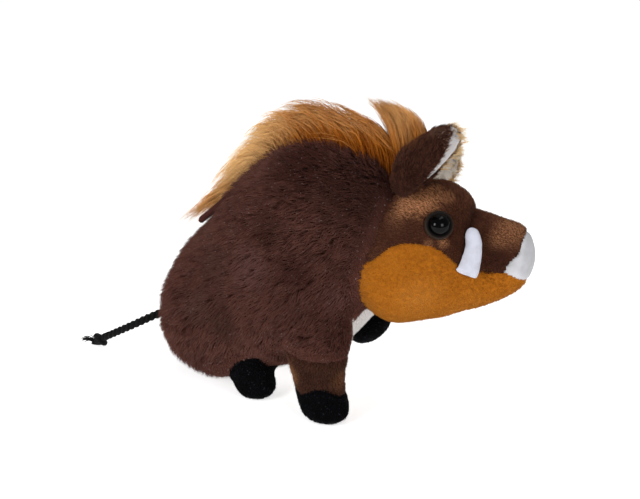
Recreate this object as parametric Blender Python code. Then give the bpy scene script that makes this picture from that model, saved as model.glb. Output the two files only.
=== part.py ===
"""A plush toy wild boar, 25 cm from nose to rump, standing on three paws with its left forepaw raised.

Metres, +X towards the nose, +Y to the toy's left, +Z up. The origin is on the floor, under the middle
of the toy. The solids reach out to the tips of the pile. The toy is modelled as a few whole forms (trunk,
head, legs, mane), which are then parted along the seams of the real one, with a thin gap at each seam.
"""

import math

import bmesh
import bpy
from mathutils import Matrix, Vector

# Driving sizes
GAP = 0.0004  # between two pieces that meet
NECK = Vector((0.040, 0.0, 0.115))  # where the head is sewn on, and turns
HEAD_TURN = tuple(math.radians(a) for a in (-8.0, 0.0, 14.0))  # roll away, pitch, yaw to the left
TAIL_DIAMETER = 0.005
LOOP_DIAMETER = 0.003

# Colours of the fabrics, as linear RGB
LONG_PILE = (0.045, 0.024, 0.019)
SHORT_PILE = (0.075, 0.030, 0.017)
ORANGE_PLUSH = (0.36, 0.115, 0.015)
MANE_HAIR = (0.40, 0.16, 0.035)
WHITE_PLUSH = (0.52, 0.50, 0.47)
WHITE_FELT = (0.62, 0.61, 0.64)
BLACK_PLUSH = (0.006, 0.006, 0.007)
BLACK_CORD = (0.006, 0.007, 0.006)
EYE_PLASTIC = (0.004, 0.004, 0.004)
EYE_WASHER = (0.030, 0.020, 0.015)
LOOP_BRAID = (0.06, 0.02, 0.022)


def clear_scene():
    """Removes the startup objects."""
    for thing in list(bpy.data.objects):
        bpy.data.objects.remove(thing)


def material(name, colour, roughness):
    """A Principled material of one colour."""
    made = bpy.data.materials.new(name)
    made.use_nodes = True
    shader = made.node_tree.nodes["Principled BSDF"]
    shader.inputs["Base Color"].default_value = (*colour, 1.0)
    shader.inputs["Roughness"].default_value = roughness
    shader.inputs["Metallic"].default_value = 0.0
    return made


def smooth_value(places, values, at):
    """A monotone cubic through (places, values): it is smooth and never swings past a station."""
    slopes = []
    steps = [(b - a) for a, b in zip(places, places[1:])]
    rises = [(b - a) / step for a, b, step in zip(values, values[1:], steps)]
    for i in range(len(places)):
        if i in (0, len(places) - 1):
            slopes.append(rises[0] if i == 0 else rises[-1])
        elif rises[i - 1] * rises[i] <= 0:
            slopes.append(0.0)
        else:
            slopes.append(2 * rises[i - 1] * rises[i] / (rises[i - 1] + rises[i]))
    i = max(k for k in range(len(places) - 1) if places[k] <= at or k == 0)
    t = min(1.0, max(0.0, (at - places[i]) / steps[i]))
    h = steps[i]
    return (
        (2 * t**3 - 3 * t**2 + 1) * values[i]
        + (t**3 - 2 * t**2 + t) * h * slopes[i]
        + (3 * t**2 - 2 * t**3) * values[i + 1]
        + (t**3 - t**2) * h * slopes[i + 1]
    )


def mesh_object(name, bm, finish, parent=None):
    """Puts a bmesh into the scene as one object, shaded smooth."""
    bmesh.ops.recalc_face_normals(bm, faces=bm.faces)
    mesh = bpy.data.meshes.new(name)
    bm.to_mesh(mesh)
    bm.free()
    mesh.shade_smooth()
    mesh.materials.append(finish)
    made = bpy.data.objects.new(name, mesh)
    bpy.context.scene.collection.objects.link(made)
    made.parent = parent
    return made


def skinned(name, rings, finish, parent=None):
    """Joins rings of points, whose first and last are single points, into one closed mesh."""
    bm = bmesh.new()
    loops = [[bm.verts.new(p) for p in ring] for ring in rings]
    for a, b in zip(loops, loops[1:]):
        count = max(len(a), len(b))
        for i in range(count):
            j = (i + 1) % count
            corners = [a[i % len(a)], a[j % len(a)], b[j % len(b)], b[i % len(b)]]
            bm.faces.new(list(dict.fromkeys(corners)))
    return mesh_object(name, bm, finish, parent)


def loft(name, stations, finish, around=24, along=18, parent=None):
    """A closed form through oval sections.

    A station is (centre, lean, half height, half width, egg). The section stands across the path, its
    height leaning back by lean degrees, and egg above 0 makes it narrower at its top. The squares of the
    half sizes are interpolated, so that a form whose end sections are 0 closes in a round dome.
    """
    run = [0.0]
    for (a, *_), (b, *_) in zip(stations, stations[1:]):
        run.append(run[-1] + (Vector(b) - Vector(a)).length)
    columns = [[s[0][k] for s in stations] for k in range(3)]
    columns += [[s[1] for s in stations], [s[2] ** 2 for s in stations]]
    columns += [[s[3] ** 2 for s in stations], [s[4] for s in stations]]
    rings = []
    for step in range(along + 1):
        at = run[-1] * (1 - math.cos(math.pi * step / along)) / 2
        x, y, z, lean, high, wide, egg = [smooth_value(run, c, at) for c in columns]
        centre = Vector((x, y, z))
        if step in (0, along):
            rings.append([centre])
            continue
        up = Vector((math.sin(math.radians(lean)), 0, math.cos(math.radians(lean))))
        ring = []
        for k in range(around):
            turn = 2 * math.pi * k / around
            across = math.sqrt(wide) * math.sin(turn) * (1 - egg * math.cos(turn))
            ring.append(centre + up * math.sqrt(high) * math.cos(turn) + Vector((0, across, 0)))
        rings.append(ring)
    return skinned(name, rings, finish, parent)


def upright_sections(profile, egg):
    """Stations from a side profile: each row is (x, top, bottom, half width)."""
    rows = []
    for x, top, bottom, half_width in profile:
        rows.append(((x, 0.0, (top + bottom) / 2), 0.0, (top - bottom) / 2, half_width, egg))
    return rows


def slab(name, outline, half_width, parent=None):
    """A cutter: an outline in the XZ plane, drawn out to both sides."""
    bm = bmesh.new()
    sides = [[bm.verts.new((x, y, z)) for x, z in outline] for y in (-half_width, half_width)]
    bm.faces.new(sides[0])
    bm.faces.new(sides[1])
    for i in range(len(outline)):
        j = (i + 1) % len(outline)
        bm.faces.new((sides[0][i], sides[0][j], sides[1][j], sides[1][i]))
    return helper(mesh_object(name, bm, finishes["long_pile"], parent))


def helper(thing):
    """Marks a cutter, which isn't part of the toy."""
    thing.hide_render = True
    thing.display_type = "WIRE"
    return thing


def copy_of(source, name, is_helper=True):
    """A second object of the same mesh, in the same place and with the same cuts."""
    made = source.copy()
    made.data = source.data.copy()
    made.name = name
    bpy.context.scene.collection.objects.link(made)
    if is_helper:
        helper(made)
    else:
        made.hide_render = False
        made.display_type = "TEXTURED"
    return made


def grown(source, by=GAP):
    """A cutter that is this form, larger by a gap all over."""
    made = copy_of(source, source.name + "_grown")
    swell = made.modifiers.new("Swell", "DISPLACE")
    swell.strength = by
    swell.mid_level = 0.0
    return made


def combine(piece, other, operation):
    """One exact Boolean on a piece."""
    step = piece.modifiers.new(operation.title(), "BOOLEAN")
    step.operation = operation
    step.solver = "EXACT"
    step.object = other


def cut(piece, *cutters):
    for cutter in cutters:
        combine(piece, cutter, "DIFFERENCE")


def keep_inside(piece, cutter):
    combine(piece, cutter, "INTERSECT")


# The trunk, of long brown pile: high at the shoulder, sloping down to a round rump.
# Each row of an upright profile is x, top, bottom, half width.
TRUNK_PROFILE = (
    (-0.1260, 0.046, 0.046, 0.000),
    (-0.1140, 0.086, 0.014, 0.039),
    (-0.1010, 0.107, 0.003, 0.048),
    (-0.0850, 0.124, -0.001, 0.053),
    (-0.0650, 0.149, 0.002, 0.056),
    (-0.0450, 0.168, 0.010, 0.0575),
    (-0.0250, 0.1785, 0.020, 0.0575),
    (0.0020, 0.1785, 0.036, 0.055),
    (0.0230, 0.1720, 0.060, 0.049),
    (0.0400, 0.157, 0.086, 0.038),
    (0.0510, 0.114, 0.114, 0.000),
)
TRUNK_EGG = 0.16

# The head with its muzzle, in its own frame: the neck is at 0, 0, 0 and the nose points along +X.
HEAD_PROFILE = (
    (-0.0250, -0.0100, -0.0100, 0.0000),
    (-0.0150, 0.0250, -0.0450, 0.0390),
    (0.0050, 0.0380, -0.0530, 0.0440),
    (0.0280, 0.0410, -0.0480, 0.0380),
    (0.0440, 0.0335, -0.0418, 0.0285),
    (0.0485, 0.0245, -0.0412, 0.0250),
    (0.0530, 0.0235, -0.0398, 0.0225),
    (0.0650, 0.0203, -0.0345, 0.0185),
    (0.0790, 0.0155, -0.0249, 0.0175),
    (0.0870, -0.0040, -0.0040, 0.0000),
)
HEAD_EGG = 0.10
JAW_SEAM = (
    (-0.040, -0.030),
    (-0.012, -0.007),
    (0.007, 0.007),
    (0.019, 0.008),
    (0.0315, 0.0045),
    (0.045, -0.008),
    (0.060, -0.012),
    (0.074, -0.0125),
    (0.081, -0.0180),
    (0.110, -0.0300),
)
NOSE_SEAM = ((0.0815, 0.030), (0.0815, 0.0145), (0.0735, -0.012), (0.0735, -0.040))
MUZZLE_SEAM = ((0.0485, 0.060), (0.0485, 0.0225), (0.0455, -0.060))

# Legs. Each station is x, y, z, lean, half length, half width, from the paw upwards.
HOOF_TOP = 0.021
HOOF_LEAN = math.radians(12)  # the paw's edge drops towards the inside of the leg
FORE_SEAM = 0.046
FORELEG = (
    (0.011, -0.040, -0.002, 90, 0.0000, 0.0000),
    (0.0095, -0.040, 0.004, 90, 0.0160, 0.0143),
    (0.0078, -0.040, 0.013, 90, 0.0176, 0.0152),
    (0.0043, -0.040, 0.027, 90, 0.0176, 0.0147),
    (0.0025, -0.039, 0.046, 90, 0.0228, 0.0167),
    (-0.001, -0.034, 0.068, 90, 0.0275, 0.0187),
    (-0.005, -0.031, 0.084, 90, 0.0240, 0.0170),
    (-0.006, -0.030, 0.098, 90, 0.0000, 0.0000),
)
LEG_LIFT = math.radians(-50)  # the left foreleg is swung forward
ELBOW = Vector((0.003, 0.038, 0.062))
LEFT_ELBOW = Vector((-0.039, 0.034, 0.065))
INNER_SEAM = {"right": -0.0300, "left": -0.0370}  # from here inwards a foreleg is white
HAUNCH_CENTRE = Vector((-0.075, -0.029, 0.052))
HAUNCH_RADII = (0.043, 0.0285, 0.043)
HIND_PAW = (
    (-0.047, -0.030, -0.002, 90, 0.0000, 0.0000),
    (-0.047, -0.030, 0.004, 90, 0.0135, 0.0130),
    (-0.049, -0.031, 0.014, 90, 0.0158, 0.0145),
    (-0.053, -0.033, 0.027, 90, 0.0165, 0.0148),
    (-0.056, -0.033, 0.042, 90, 0.0120, 0.0120),
    (-0.059, -0.032, 0.052, 90, 0.0000, 0.0000),
)
LEFT_HIND_FORWARD = 0.006  # the left hind paw is set forward, under the middle of the toy

# The white panel under the trunk, in the side view
BELLY_OUTLINE = (
    (-0.066, -0.020),
    (0.080, -0.020),
    (0.080, 0.112),
    (0.034, 0.104),
    (0.010, 0.070),
    (-0.020, 0.043),
    (-0.048, 0.026),
    (-0.066, 0.014),
)
BELLY_HALF_WIDTH = 0.021

# The mane: a crest of long hair on the back, and a lock between the ears.
MANE_PROFILE = (
    (-0.0880, 0.129, 0.129, 0.000),
    (-0.0800, 0.144, 0.112, 0.010),
    (-0.0650, 0.163, 0.125, 0.014),
    (-0.0540, 0.178, 0.135, 0.016),
    (-0.0390, 0.192, 0.140, 0.017),
    (-0.0200, 0.199, 0.150, 0.017),
    (-0.0020, 0.198, 0.150, 0.016),
    (0.0120, 0.193, 0.150, 0.013),
    (0.0230, 0.187, 0.150, 0.010),
    (0.0310, 0.178, 0.150, 0.007),
    (0.0370, 0.164, 0.164, 0.000),
)
FORELOCK = (
    (0.0510, 0.004, 0.142, 90, 0.0000, 0.0000),
    (0.0500, 0.005, 0.154, 88, 0.0145, 0.0100),
    (0.0500, 0.005, 0.168, 80, 0.0165, 0.0100),
    (0.0460, 0.004, 0.183, 66, 0.0160, 0.0095),
    (0.0370, 0.003, 0.195, 54, 0.0120, 0.0080),
    (0.0240, 0.002, 0.2055, 48, 0.0000, 0.0000),
)

# Face, in the head's frame
EYE_PLACE = Vector((0.033, -0.040, 0.024))
EYE_DOME = (
    (0.0, 0.0016),
    (0.0061, 0.0016),
    (0.0062, 0.0030),
    (0.0052, 0.0048),
    (0.0030, 0.0060),
    (0.0, 0.0064),
)
EYE_RIM = (
    (0.0, -0.0030),
    (0.0078, -0.0030),
    (0.0085, -0.0005),
    (0.0078, 0.0008),
    (0.0066, 0.0012),
    (0.0, 0.0012),
)
TUSK = (
    (0.0460, -0.0277, -0.0112, -68, 0.0000, 0.0000),
    (0.0463, -0.0277, -0.0106, -68, 0.0078, 0.0022),
    (0.0482, -0.0271, -0.0055, -70, 0.0070, 0.0027),
    (0.0497, -0.0262, -0.0005, -80, 0.0058, 0.0027),
    (0.0504, -0.0249, 0.0068, -98, 0.0048, 0.0027),
    (0.0488, -0.0236, 0.0128, -114, 0.0042, 0.0025),
    (0.0472, -0.0228, 0.0160, -120, 0.0000, 0.0000),
)
EAR_WIDTHS = (
    (0.0, 0.0065),
    (0.15, 0.0110),
    (0.35, 0.0140),
    (0.6, 0.0150),
    (0.8, 0.0130),
    (0.93, 0.0085),
    (1.0, 0.0025),
)
EAR_CUP = math.radians(92)
EAR_SKIN = 0.0026
EAR_LINING = 0.0014
EAR_TAPER = 0.009  # half width below which an ear also gets thinner
# Each ear is its base, its tip and the way it opens
RIGHT_EAR = (
    Vector((0.006, -0.0205, 0.038)),
    Vector((0.0355, -0.0320, 0.0775)),
    Vector((0.94, -0.30, 0.15)),
)
LEFT_EAR = (
    Vector((0.004, 0.018, 0.033)),
    Vector((0.034, 0.041, 0.056)),
    Vector((0.84, -0.36, -0.34)),
)

# Cords
TAIL_PATH = (
    (-0.1240, -0.002, 0.0385),
    (-0.1390, -0.009, 0.0325),
    (-0.1550, -0.014, 0.0240),
    (-0.1710, -0.015, 0.0148),
    (-0.1825, -0.013, 0.0078),
)
KNOT = (
    (-0.1820, -0.0130, 0.0080, 0, 0.0000, 0.0000),
    (-0.1850, -0.0132, 0.0062, 0, 0.0044, 0.0044),
    (-0.1890, -0.0140, 0.0050, 0, 0.0040, 0.0042),
    (-0.1920, -0.0145, 0.0040, 0, 0.0028, 0.0030),
    (-0.1990, -0.0150, 0.0030, 0, 0.0000, 0.0000),
)
LOOP_ROOT = Vector((-0.0880, 0.0, 0.1200))
LOOP_END = Vector((-0.1035, 0.0, 0.1085))
LOOP_SPREAD = 0.0034


def stations_of(rows, egg=0.0, side=1.0):
    """Loft stations from rows of x, y, z, lean, half height, half width; side -1 mirrors them."""
    return [((x, y * side, z), lean, high, wide, egg) for x, y, z, lean, high, wide in rows]


def part_loft(name, rows, finish_name, around=16, along=12, side=1.0, parent=None):
    """A helper form from rows of x, y, z, lean, half height and half width."""
    return loft(name, stations_of(rows, side=side), finishes[finish_name], around, along, parent)


def ball(name, centre, radii, finish_name, around=20, along=11):
    """An ellipsoid."""
    bm = bmesh.new()
    bmesh.ops.create_uvsphere(bm, u_segments=around, v_segments=along, radius=1.0)
    bmesh.ops.scale(bm, vec=radii, verts=bm.verts)
    bmesh.ops.translate(bm, vec=centre, verts=bm.verts)
    return mesh_object(name, bm, finishes[finish_name])


def turned(name, profile, place, finish_name, around=18, parent=None):
    """A round form from a profile of (radius, height), whose ends lie on its axis."""
    rings = []
    for radius, height in profile:
        if radius == 0.0:
            rings.append([place @ Vector((0, 0, height))])
            continue
        turns = [2 * math.pi * k / around for k in range(around)]
        rings.append([place @ Vector((radius * math.cos(t), radius * math.sin(t), height)) for t in turns])
    return skinned(name, rings, finishes[finish_name], parent)


def cupped_leaf(name, ear, inside, outside, finish_name, rows=6, columns=7):
    """One layer of an ear: a leaf bent round its length, from inside to outside the middle layer."""
    base, tip, opening = ear
    axis = (tip - base).normalized()
    forward = (opening - axis * opening.dot(axis)).normalized()
    side = axis.cross(forward)
    bm = bmesh.new()
    grid = {}
    for s in range(rows + 1):
        along = s / rows
        half_width = smooth_value([w[0] for w in EAR_WIDTHS], [w[1] for w in EAR_WIDTHS], along)
        radius = half_width / math.sin(EAR_CUP)
        thin = min(1.0, half_width / EAR_TAPER)
        for t in range(columns + 1):
            turn = EAR_CUP * (2 * t / columns - 1)
            for layer, offset in enumerate((inside, outside)):
                reach = radius + (offset if abs(offset) <= GAP else offset * thin)
                point = base + axis * (tip - base).length * along
                point += side * reach * math.sin(turn) - forward * (reach * math.cos(turn) - radius * 0.5)
                grid[layer, s, t] = bm.verts.new(point)
    for s in range(rows):
        for t in range(columns):
            for layer in (0, 1):
                square = ((s, t), (s + 1, t), (s + 1, t + 1), (s, t + 1))
                bm.faces.new([grid[layer, a, b] for a, b in square])
    rim = [(0, t) for t in range(columns)] + [(s, columns) for s in range(rows)]
    rim += [(rows, t) for t in range(columns, 0, -1)] + [(s, 0) for s in range(rows, 0, -1)]
    for k, here in enumerate(rim):
        there = rim[(k + 1) % len(rim)]
        bm.faces.new((grid[0, *here], grid[0, *there], grid[1, *there], grid[1, *here]))
    return mesh_object(name, bm, finishes[finish_name], head_pose)


def tube(name, points, diameter, finish_name, around=10):
    """A round cord through the points, closed at its ends."""
    rings = []
    for k, point in enumerate(points):
        before, after = points[max(k - 1, 0)], points[min(k + 1, len(points) - 1)]
        along = (after - before).normalized()
        side = along.cross(Vector((0, 0, 1))).normalized()
        up = side.cross(along)
        if k in (0, len(points) - 1):
            rings.append([point])
        turns = [2 * math.pi * i / around for i in range(around)]
        ring = [point + (side * math.cos(t) + up * math.sin(t)) * diameter / 2 for t in turns]
        rings.insert(len(rings) if k < len(points) - 1 else -1, ring)
    return skinned(name, rings, finishes[finish_name])


def smooth_path(points, count):
    """Points at even steps of a smooth curve through a few."""
    places = list(range(len(points)))
    path = []
    for k in range(count + 1):
        at = places[-1] * k / count
        path.append(Vector([smooth_value(places, [p[axis] for p in points], at) for axis in range(3)]))
    return path


def box_above(name, height, size=0.4):
    """A cutter: everything above a height."""
    bm = bmesh.new()
    bmesh.ops.create_cube(bm, size=size)
    bmesh.ops.translate(bm, vec=(0, 0, height + size / 2), verts=bm.verts)
    return helper(mesh_object(name, bm, finishes["black_plush"]))


def box_below(name, height, size=0.4):
    """A cutter: everything below a height."""
    return box_above(name, height - size, size)


def box_inward(name, y, side, size=0.4):
    """A cutter: everything nearer the middle than a plane beside it."""
    bm = bmesh.new()
    bmesh.ops.create_cube(bm, size=size)
    bmesh.ops.translate(bm, vec=(0, (y + size / 2) * side, 0), verts=bm.verts)
    return helper(mesh_object(name, bm, finishes["black_plush"]))


def use_finish(piece, name):
    piece.data.materials[0] = finishes[name]


def seam_line(points, shift=0.0):
    """A smooth seam through its points in the side view, moved up by shift."""
    places = [p[0] for p in points]
    count = 2 * (len(points) - 1)
    line = []
    for k in range(count + 1):
        x = places[0] + (places[-1] - places[0]) * k / count
        line.append((x, smooth_value(places, [p[1] for p in points], x) + shift))
    return line


def head_pieces(trunk):
    """The skull, muzzle, jaw and nose, parted from one form along their seams."""
    sections = upright_sections(HEAD_PROFILE, HEAD_EGG)
    form = loft("head_form", sections, finishes["short_pile"], parent=head_pose)
    helper(form)
    half = 0.08
    below = [(JAW_SEAM[-1][0], -half), (JAW_SEAM[0][0], -half)]
    jaw_side = slab("jaw_side", seam_line(JAW_SEAM) + below, half, head_pose)
    above_jaw = slab("above_jaw", seam_line(JAW_SEAM, GAP) + below, half, head_pose)
    front = [(half * 1.5, NOSE_SEAM[-1][1]), (half * 1.5, NOSE_SEAM[0][1])]
    nose_side = slab("nose_side", list(NOSE_SEAM) + front, half, head_pose)
    behind_nose = slab("behind_nose", [(x - GAP, z) for x, z in NOSE_SEAM] + front, half, head_pose)
    front = [(half * 1.5, -half), (half * 1.5, half)]
    muzzle_side = slab("muzzle_side", list(MUZZLE_SEAM) + front, half, head_pose)
    behind_muzzle = slab("behind_muzzle", [(x - GAP, z) for x, z in MUZZLE_SEAM] + front, half, head_pose)

    pieces = {name: copy_of(form, name, is_helper=False) for name in ("jaw", "nose", "muzzle", "head")}
    keep_inside(pieces["jaw"], jaw_side)
    keep_inside(pieces["nose"], nose_side)
    keep_inside(pieces["muzzle"], muzzle_side)
    cut(pieces["muzzle"], behind_nose)
    cut(pieces["head"], behind_muzzle)
    for name in ("nose", "muzzle", "head"):
        cut(pieces[name], above_jaw)
    for name in ("head", "jaw"):
        cut(pieces[name], trunk)
    use_finish(pieces["jaw"], "orange_plush")
    use_finish(pieces["nose"], "white_felt")
    return form, pieces


def eye(side_name, side, form, head):
    """A glossy dome on a round washer, let into the side of the head."""
    bpy.context.view_layer.update()
    aim = Vector((EYE_PLACE.x, EYE_PLACE.y * side, EYE_PLACE.z))
    found, place, normal, _ = form.closest_point_on_mesh(aim)
    stand = Matrix.Translation(place) @ normal.to_track_quat("Z", "Y").to_matrix().to_4x4()
    rim = turned(f"eye_rim_{side_name}", EYE_RIM, stand, "eye_washer", parent=head_pose)
    turned(f"eye_{side_name}", EYE_DOME, stand, "eye_plastic", parent=head_pose)
    cut(head, grown(rim))


clear_scene()
finishes = {
    "long_pile": material("long_pile", LONG_PILE, 0.85),
    "short_pile": material("short_pile", SHORT_PILE, 0.75),
    "orange_plush": material("orange_plush", ORANGE_PLUSH, 0.75),
    "mane_hair": material("mane_hair", MANE_HAIR, 0.55),
    "white_plush": material("white_plush", WHITE_PLUSH, 0.85),
    "white_felt": material("white_felt", WHITE_FELT, 0.9),
    "black_plush": material("black_plush", BLACK_PLUSH, 0.7),
    "black_cord": material("black_cord", BLACK_CORD, 0.6),
    "eye_plastic": material("eye_plastic", EYE_PLASTIC, 0.06),
    "eye_washer": material("eye_washer", EYE_WASHER, 0.3),
    "loop_braid": material("loop_braid", LOOP_BRAID, 0.6),
}
head_pose = bpy.data.objects.new("head_pose", None)
bpy.context.scene.collection.objects.link(head_pose)
head_pose.location = NECK
head_pose.rotation_euler = HEAD_TURN
floor = box_below("floor", 0.0)

# Trunk
trunk_shape = loft("trunk_form", upright_sections(TRUNK_PROFILE, TRUNK_EGG), finishes["long_pile"])
helper(trunk_shape)
trunk_cutter = grown(trunk_shape)
trunk = copy_of(trunk_shape, "trunk", is_helper=False)
cut(trunk, floor)

# Legs: the forelegs are parted at a seam into long and short pile, with a black paw below
leg_cutters = []
for side_name, side in (("right", 1.0), ("left", -1.0)):
    centre = Vector((HAUNCH_CENTRE.x, HAUNCH_CENTRE.y * side, HAUNCH_CENTRE.z))
    haunch = ball(f"hindleg_{side_name}", centre, HAUNCH_RADII, "long_pile")
    haunch_cutter = grown(haunch)
    leg_cutters.append(haunch_cutter)
    cut(trunk, haunch_cutter)
    paw = part_loft(f"hoof_hind_{side_name}", HIND_PAW, "black_plush", side=side)
    if side_name == "left":
        paw.location.x = LEFT_HIND_FORWARD
    cut(paw, floor, haunch_cutter, trunk_cutter)

    pose = bpy.data.objects.new(f"foreleg_pose_{side_name}", None)
    bpy.context.scene.collection.objects.link(pose)
    if side_name == "left":
        turn = Matrix.Rotation(LEG_LIFT, 4, "Y")
        pose.matrix_world = Matrix.Translation(LEFT_ELBOW) @ turn @ Matrix.Translation(-ELBOW)
    leg = helper(part_loft(f"foreleg_form_{side_name}", FORELEG, "long_pile", side=side, parent=pose))
    cutters = {}
    for name, height, lean in (("paw", HOOF_TOP, HOOF_LEAN), ("seam", FORE_SEAM, 0.0)):
        for kind, lift in (("over", 0.0), ("under", GAP)):
            cutter = box_above(f"{kind}_{name}_{side_name}", 0.0)
            cutter.location = (ELBOW.x, -ELBOW.y * side, height - lift)
            cutter.rotation_euler.x = -lean * side
            cutter.parent = pose
            cutters[name, kind] = cutter
    inside, past_inside = [
        box_inward(f"inside_{side_name}_{k}", INNER_SEAM[side_name] - k * GAP, side) for k in (0, 1)
    ]
    inside.parent = past_inside.parent = pose
    upper = copy_of(leg, f"foreleg_{side_name}", is_helper=False)
    keep_inside(upper, cutters["seam", "over"])
    cut(upper, haunch_cutter, past_inside)
    cut(trunk, grown(leg))
    leg_cutters.append(grown(leg))
    cuff = copy_of(leg, f"foreleg_cuff_{side_name}", is_helper=False)
    keep_inside(cuff, cutters["paw", "over"])
    cut(cuff, cutters["seam", "under"], haunch_cutter, past_inside)
    use_finish(cuff, "short_pile")
    inner = copy_of(leg, f"foreleg_inner_{side_name}", is_helper=False)
    keep_inside(inner, cutters["paw", "over"])
    keep_inside(inner, inside)
    cut(inner, haunch_cutter)
    use_finish(inner, "white_plush")
    paw = copy_of(leg, f"hoof_fore_{side_name}", is_helper=False)
    cut(paw, cutters["paw", "under"])
    use_finish(paw, "black_plush")
    if side_name == "right":
        cut(paw, floor)

# Underside: a white panel from the chest to between the hind legs
belly_slab = slab("belly_slab", BELLY_OUTLINE, BELLY_HALF_WIDTH)
belly = copy_of(trunk_shape, "belly_panel", is_helper=False)
keep_inside(belly, belly_slab)
cut(belly, *leg_cutters)
use_finish(belly, "white_plush")
cut(trunk, grown(belly_slab))

# Head
head_shape, face = head_pieces(trunk_cutter)
head_cutter = grown(head_shape)
ear_cutters = []
for side_name, side in (("right", 1.0), ("left", -1.0)):
    eye(side_name, side, head_shape, face["head"])
    tusk = part_loft(f"tusk_{side_name}", TUSK, "white_felt", 10, 10, side, head_pose)
    cut(tusk, head_cutter)
    ear = RIGHT_EAR if side_name == "right" else LEFT_EAR
    skin = cupped_leaf(f"ear_{side_name}", ear, GAP, EAR_SKIN, "short_pile")
    lining = cupped_leaf(f"ear_lining_{side_name}", ear, -EAR_LINING, 0.0, "white_felt")
    cut(skin, head_cutter, trunk_cutter)
    cut(lining, head_cutter, trunk_cutter)
    ear_cutters.append(grown(skin))
    ear_cutters.append(grown(lining))

# Mane
crest = loft("mane_back", upright_sections(MANE_PROFILE, 0.0), finishes["mane_hair"], 14, 16)
cut(crest, trunk_cutter)
lock = part_loft("mane_forelock", FORELOCK, "mane_hair", 12, 10)
cut(lock, trunk_cutter, head_cutter, grown(crest), *ear_cutters)

# Cords
tail = tube("tail", smooth_path(TAIL_PATH, 10), TAIL_DIAMETER, "black_cord", 8)
cut(tail, trunk_cutter)
knot = part_loft("tail_knot", KNOT, "black_cord", 10, 8)
cut(knot, grown(tail))
loop_path = []
for k in range(15):
    turn = math.pi * k / 14
    out = math.sin(turn) ** 0.6
    sideways = Vector((0, LOOP_SPREAD * math.cos(turn), 0))
    loop_path.append(LOOP_ROOT.lerp(LOOP_END, out) + sideways)
loop = tube("hang_loop", loop_path, LOOP_DIAMETER, "loop_braid", 6)
cut(loop, trunk_cutter)
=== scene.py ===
"""The finish of a stuffed toy wild boar: long brown pile on the body, short pile on the face and
cuffs, an orange chin, a golden mane, felt tusks and nose, black paws, and a plaited tail.
Sizes are in metres. The nose points to +X, the toy's left is +Y, and it stands on Z = 0."""

import math
from contextlib import contextmanager

import bmesh
import bpy
import numpy as np
from mathutils import Euler, Matrix, Vector
from mathutils.bvhtree import BVHTree
from mathutils.kdtree import KDTree


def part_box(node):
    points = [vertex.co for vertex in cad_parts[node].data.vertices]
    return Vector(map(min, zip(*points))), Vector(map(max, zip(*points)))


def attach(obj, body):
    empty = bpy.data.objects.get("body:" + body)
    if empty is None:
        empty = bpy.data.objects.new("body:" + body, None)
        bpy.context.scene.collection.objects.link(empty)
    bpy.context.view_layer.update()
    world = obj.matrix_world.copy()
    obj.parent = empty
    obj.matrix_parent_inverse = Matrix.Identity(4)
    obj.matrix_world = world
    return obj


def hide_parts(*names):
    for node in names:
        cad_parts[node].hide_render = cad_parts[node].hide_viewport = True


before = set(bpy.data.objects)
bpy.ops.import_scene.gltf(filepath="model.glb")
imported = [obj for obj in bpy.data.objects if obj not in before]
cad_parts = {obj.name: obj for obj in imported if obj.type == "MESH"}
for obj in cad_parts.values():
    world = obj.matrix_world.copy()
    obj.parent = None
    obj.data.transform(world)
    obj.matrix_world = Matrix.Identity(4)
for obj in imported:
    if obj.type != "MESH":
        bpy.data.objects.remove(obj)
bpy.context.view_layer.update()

bpy.ops.object.select_all(action="DESELECT")

# ----------------------------------------------------------
# Studio: a long lens looks down on the toy's right cheek. Big soft lamps stand left, right and
# above, and the floor is a plain white panel, lit a little from below.
LOOK_AT = Vector((-0.015, 0.0, 0.099))
CAMERA_AROUND, CAMERA_ABOVE, CAMERA_AWAY = math.radians(27), math.radians(21), 0.95
LENS_MM, SENSOR_MM = 82.5, 36.0
AIR_GLOW, FLOOR_GLOW = 0.22, 0.66
WHITE = (1.0, 1.0, 1.0, 1.0)


def placed(name, data):
    """A new object in the scene."""
    thing = bpy.data.objects.new(name, data)
    bpy.context.scene.collection.objects.link(thing)
    return thing


toward = Vector((-math.sin(CAMERA_AROUND) * math.cos(CAMERA_ABOVE),
                 math.cos(CAMERA_AROUND) * math.cos(CAMERA_ABOVE),
                 -math.sin(CAMERA_ABOVE)))
camera = placed("camera", bpy.data.cameras.new("camera"))
camera.data.lens, camera.data.sensor_width = LENS_MM, SENSOR_MM
camera.location = LOOK_AT - toward * CAMERA_AWAY
camera.rotation_euler = toward.to_track_quat("-Z", "Y").to_euler()
bpy.context.scene.camera = camera
bpy.context.scene.view_settings.view_transform = "Standard"

for name, place, size, power in (("lamp_left", (-0.35, -1.10, 0.60), 0.40, 7.5),
                                 ("lamp_right", (1.10, -0.75, 0.60), 0.50, 6.0),
                                 ("lamp_above", (0.05, 0.25, 1.30), 0.90, 7.0)):
    lamp = placed(name, bpy.data.lights.new(name, "AREA"))
    lamp.data.size, lamp.data.energy = size, power
    lamp.location = place
    lamp.rotation_euler = (LOOK_AT - Vector(place)).to_track_quat("-Z", "Y").to_euler()

world = bpy.data.worlds.new("studio_air")
bpy.context.scene.world = world
world.use_nodes = True
air = world.node_tree.nodes["Background"].inputs
air["Color"].default_value, air["Strength"].default_value = WHITE, AIR_GLOW

bpy.ops.mesh.primitive_plane_add(size=6.0, location=(0.0, 0.0, 0.0))
floor = bpy.context.object
floor.name = "floor"
floor_paint = bpy.data.materials.new("floor_paint")
floor_paint.use_nodes = True
paint = floor_paint.node_tree.nodes["Principled BSDF"].inputs
paint["Base Color"].default_value, paint["Roughness"].default_value = (0.93, 0.93, 0.93, 1.0), 0.9
paint["Emission Color"].default_value, paint["Emission Strength"].default_value = WHITE, FLOOR_GLOW
floor.data.materials.append(floor_paint)
floor.select_set(False)

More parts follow.
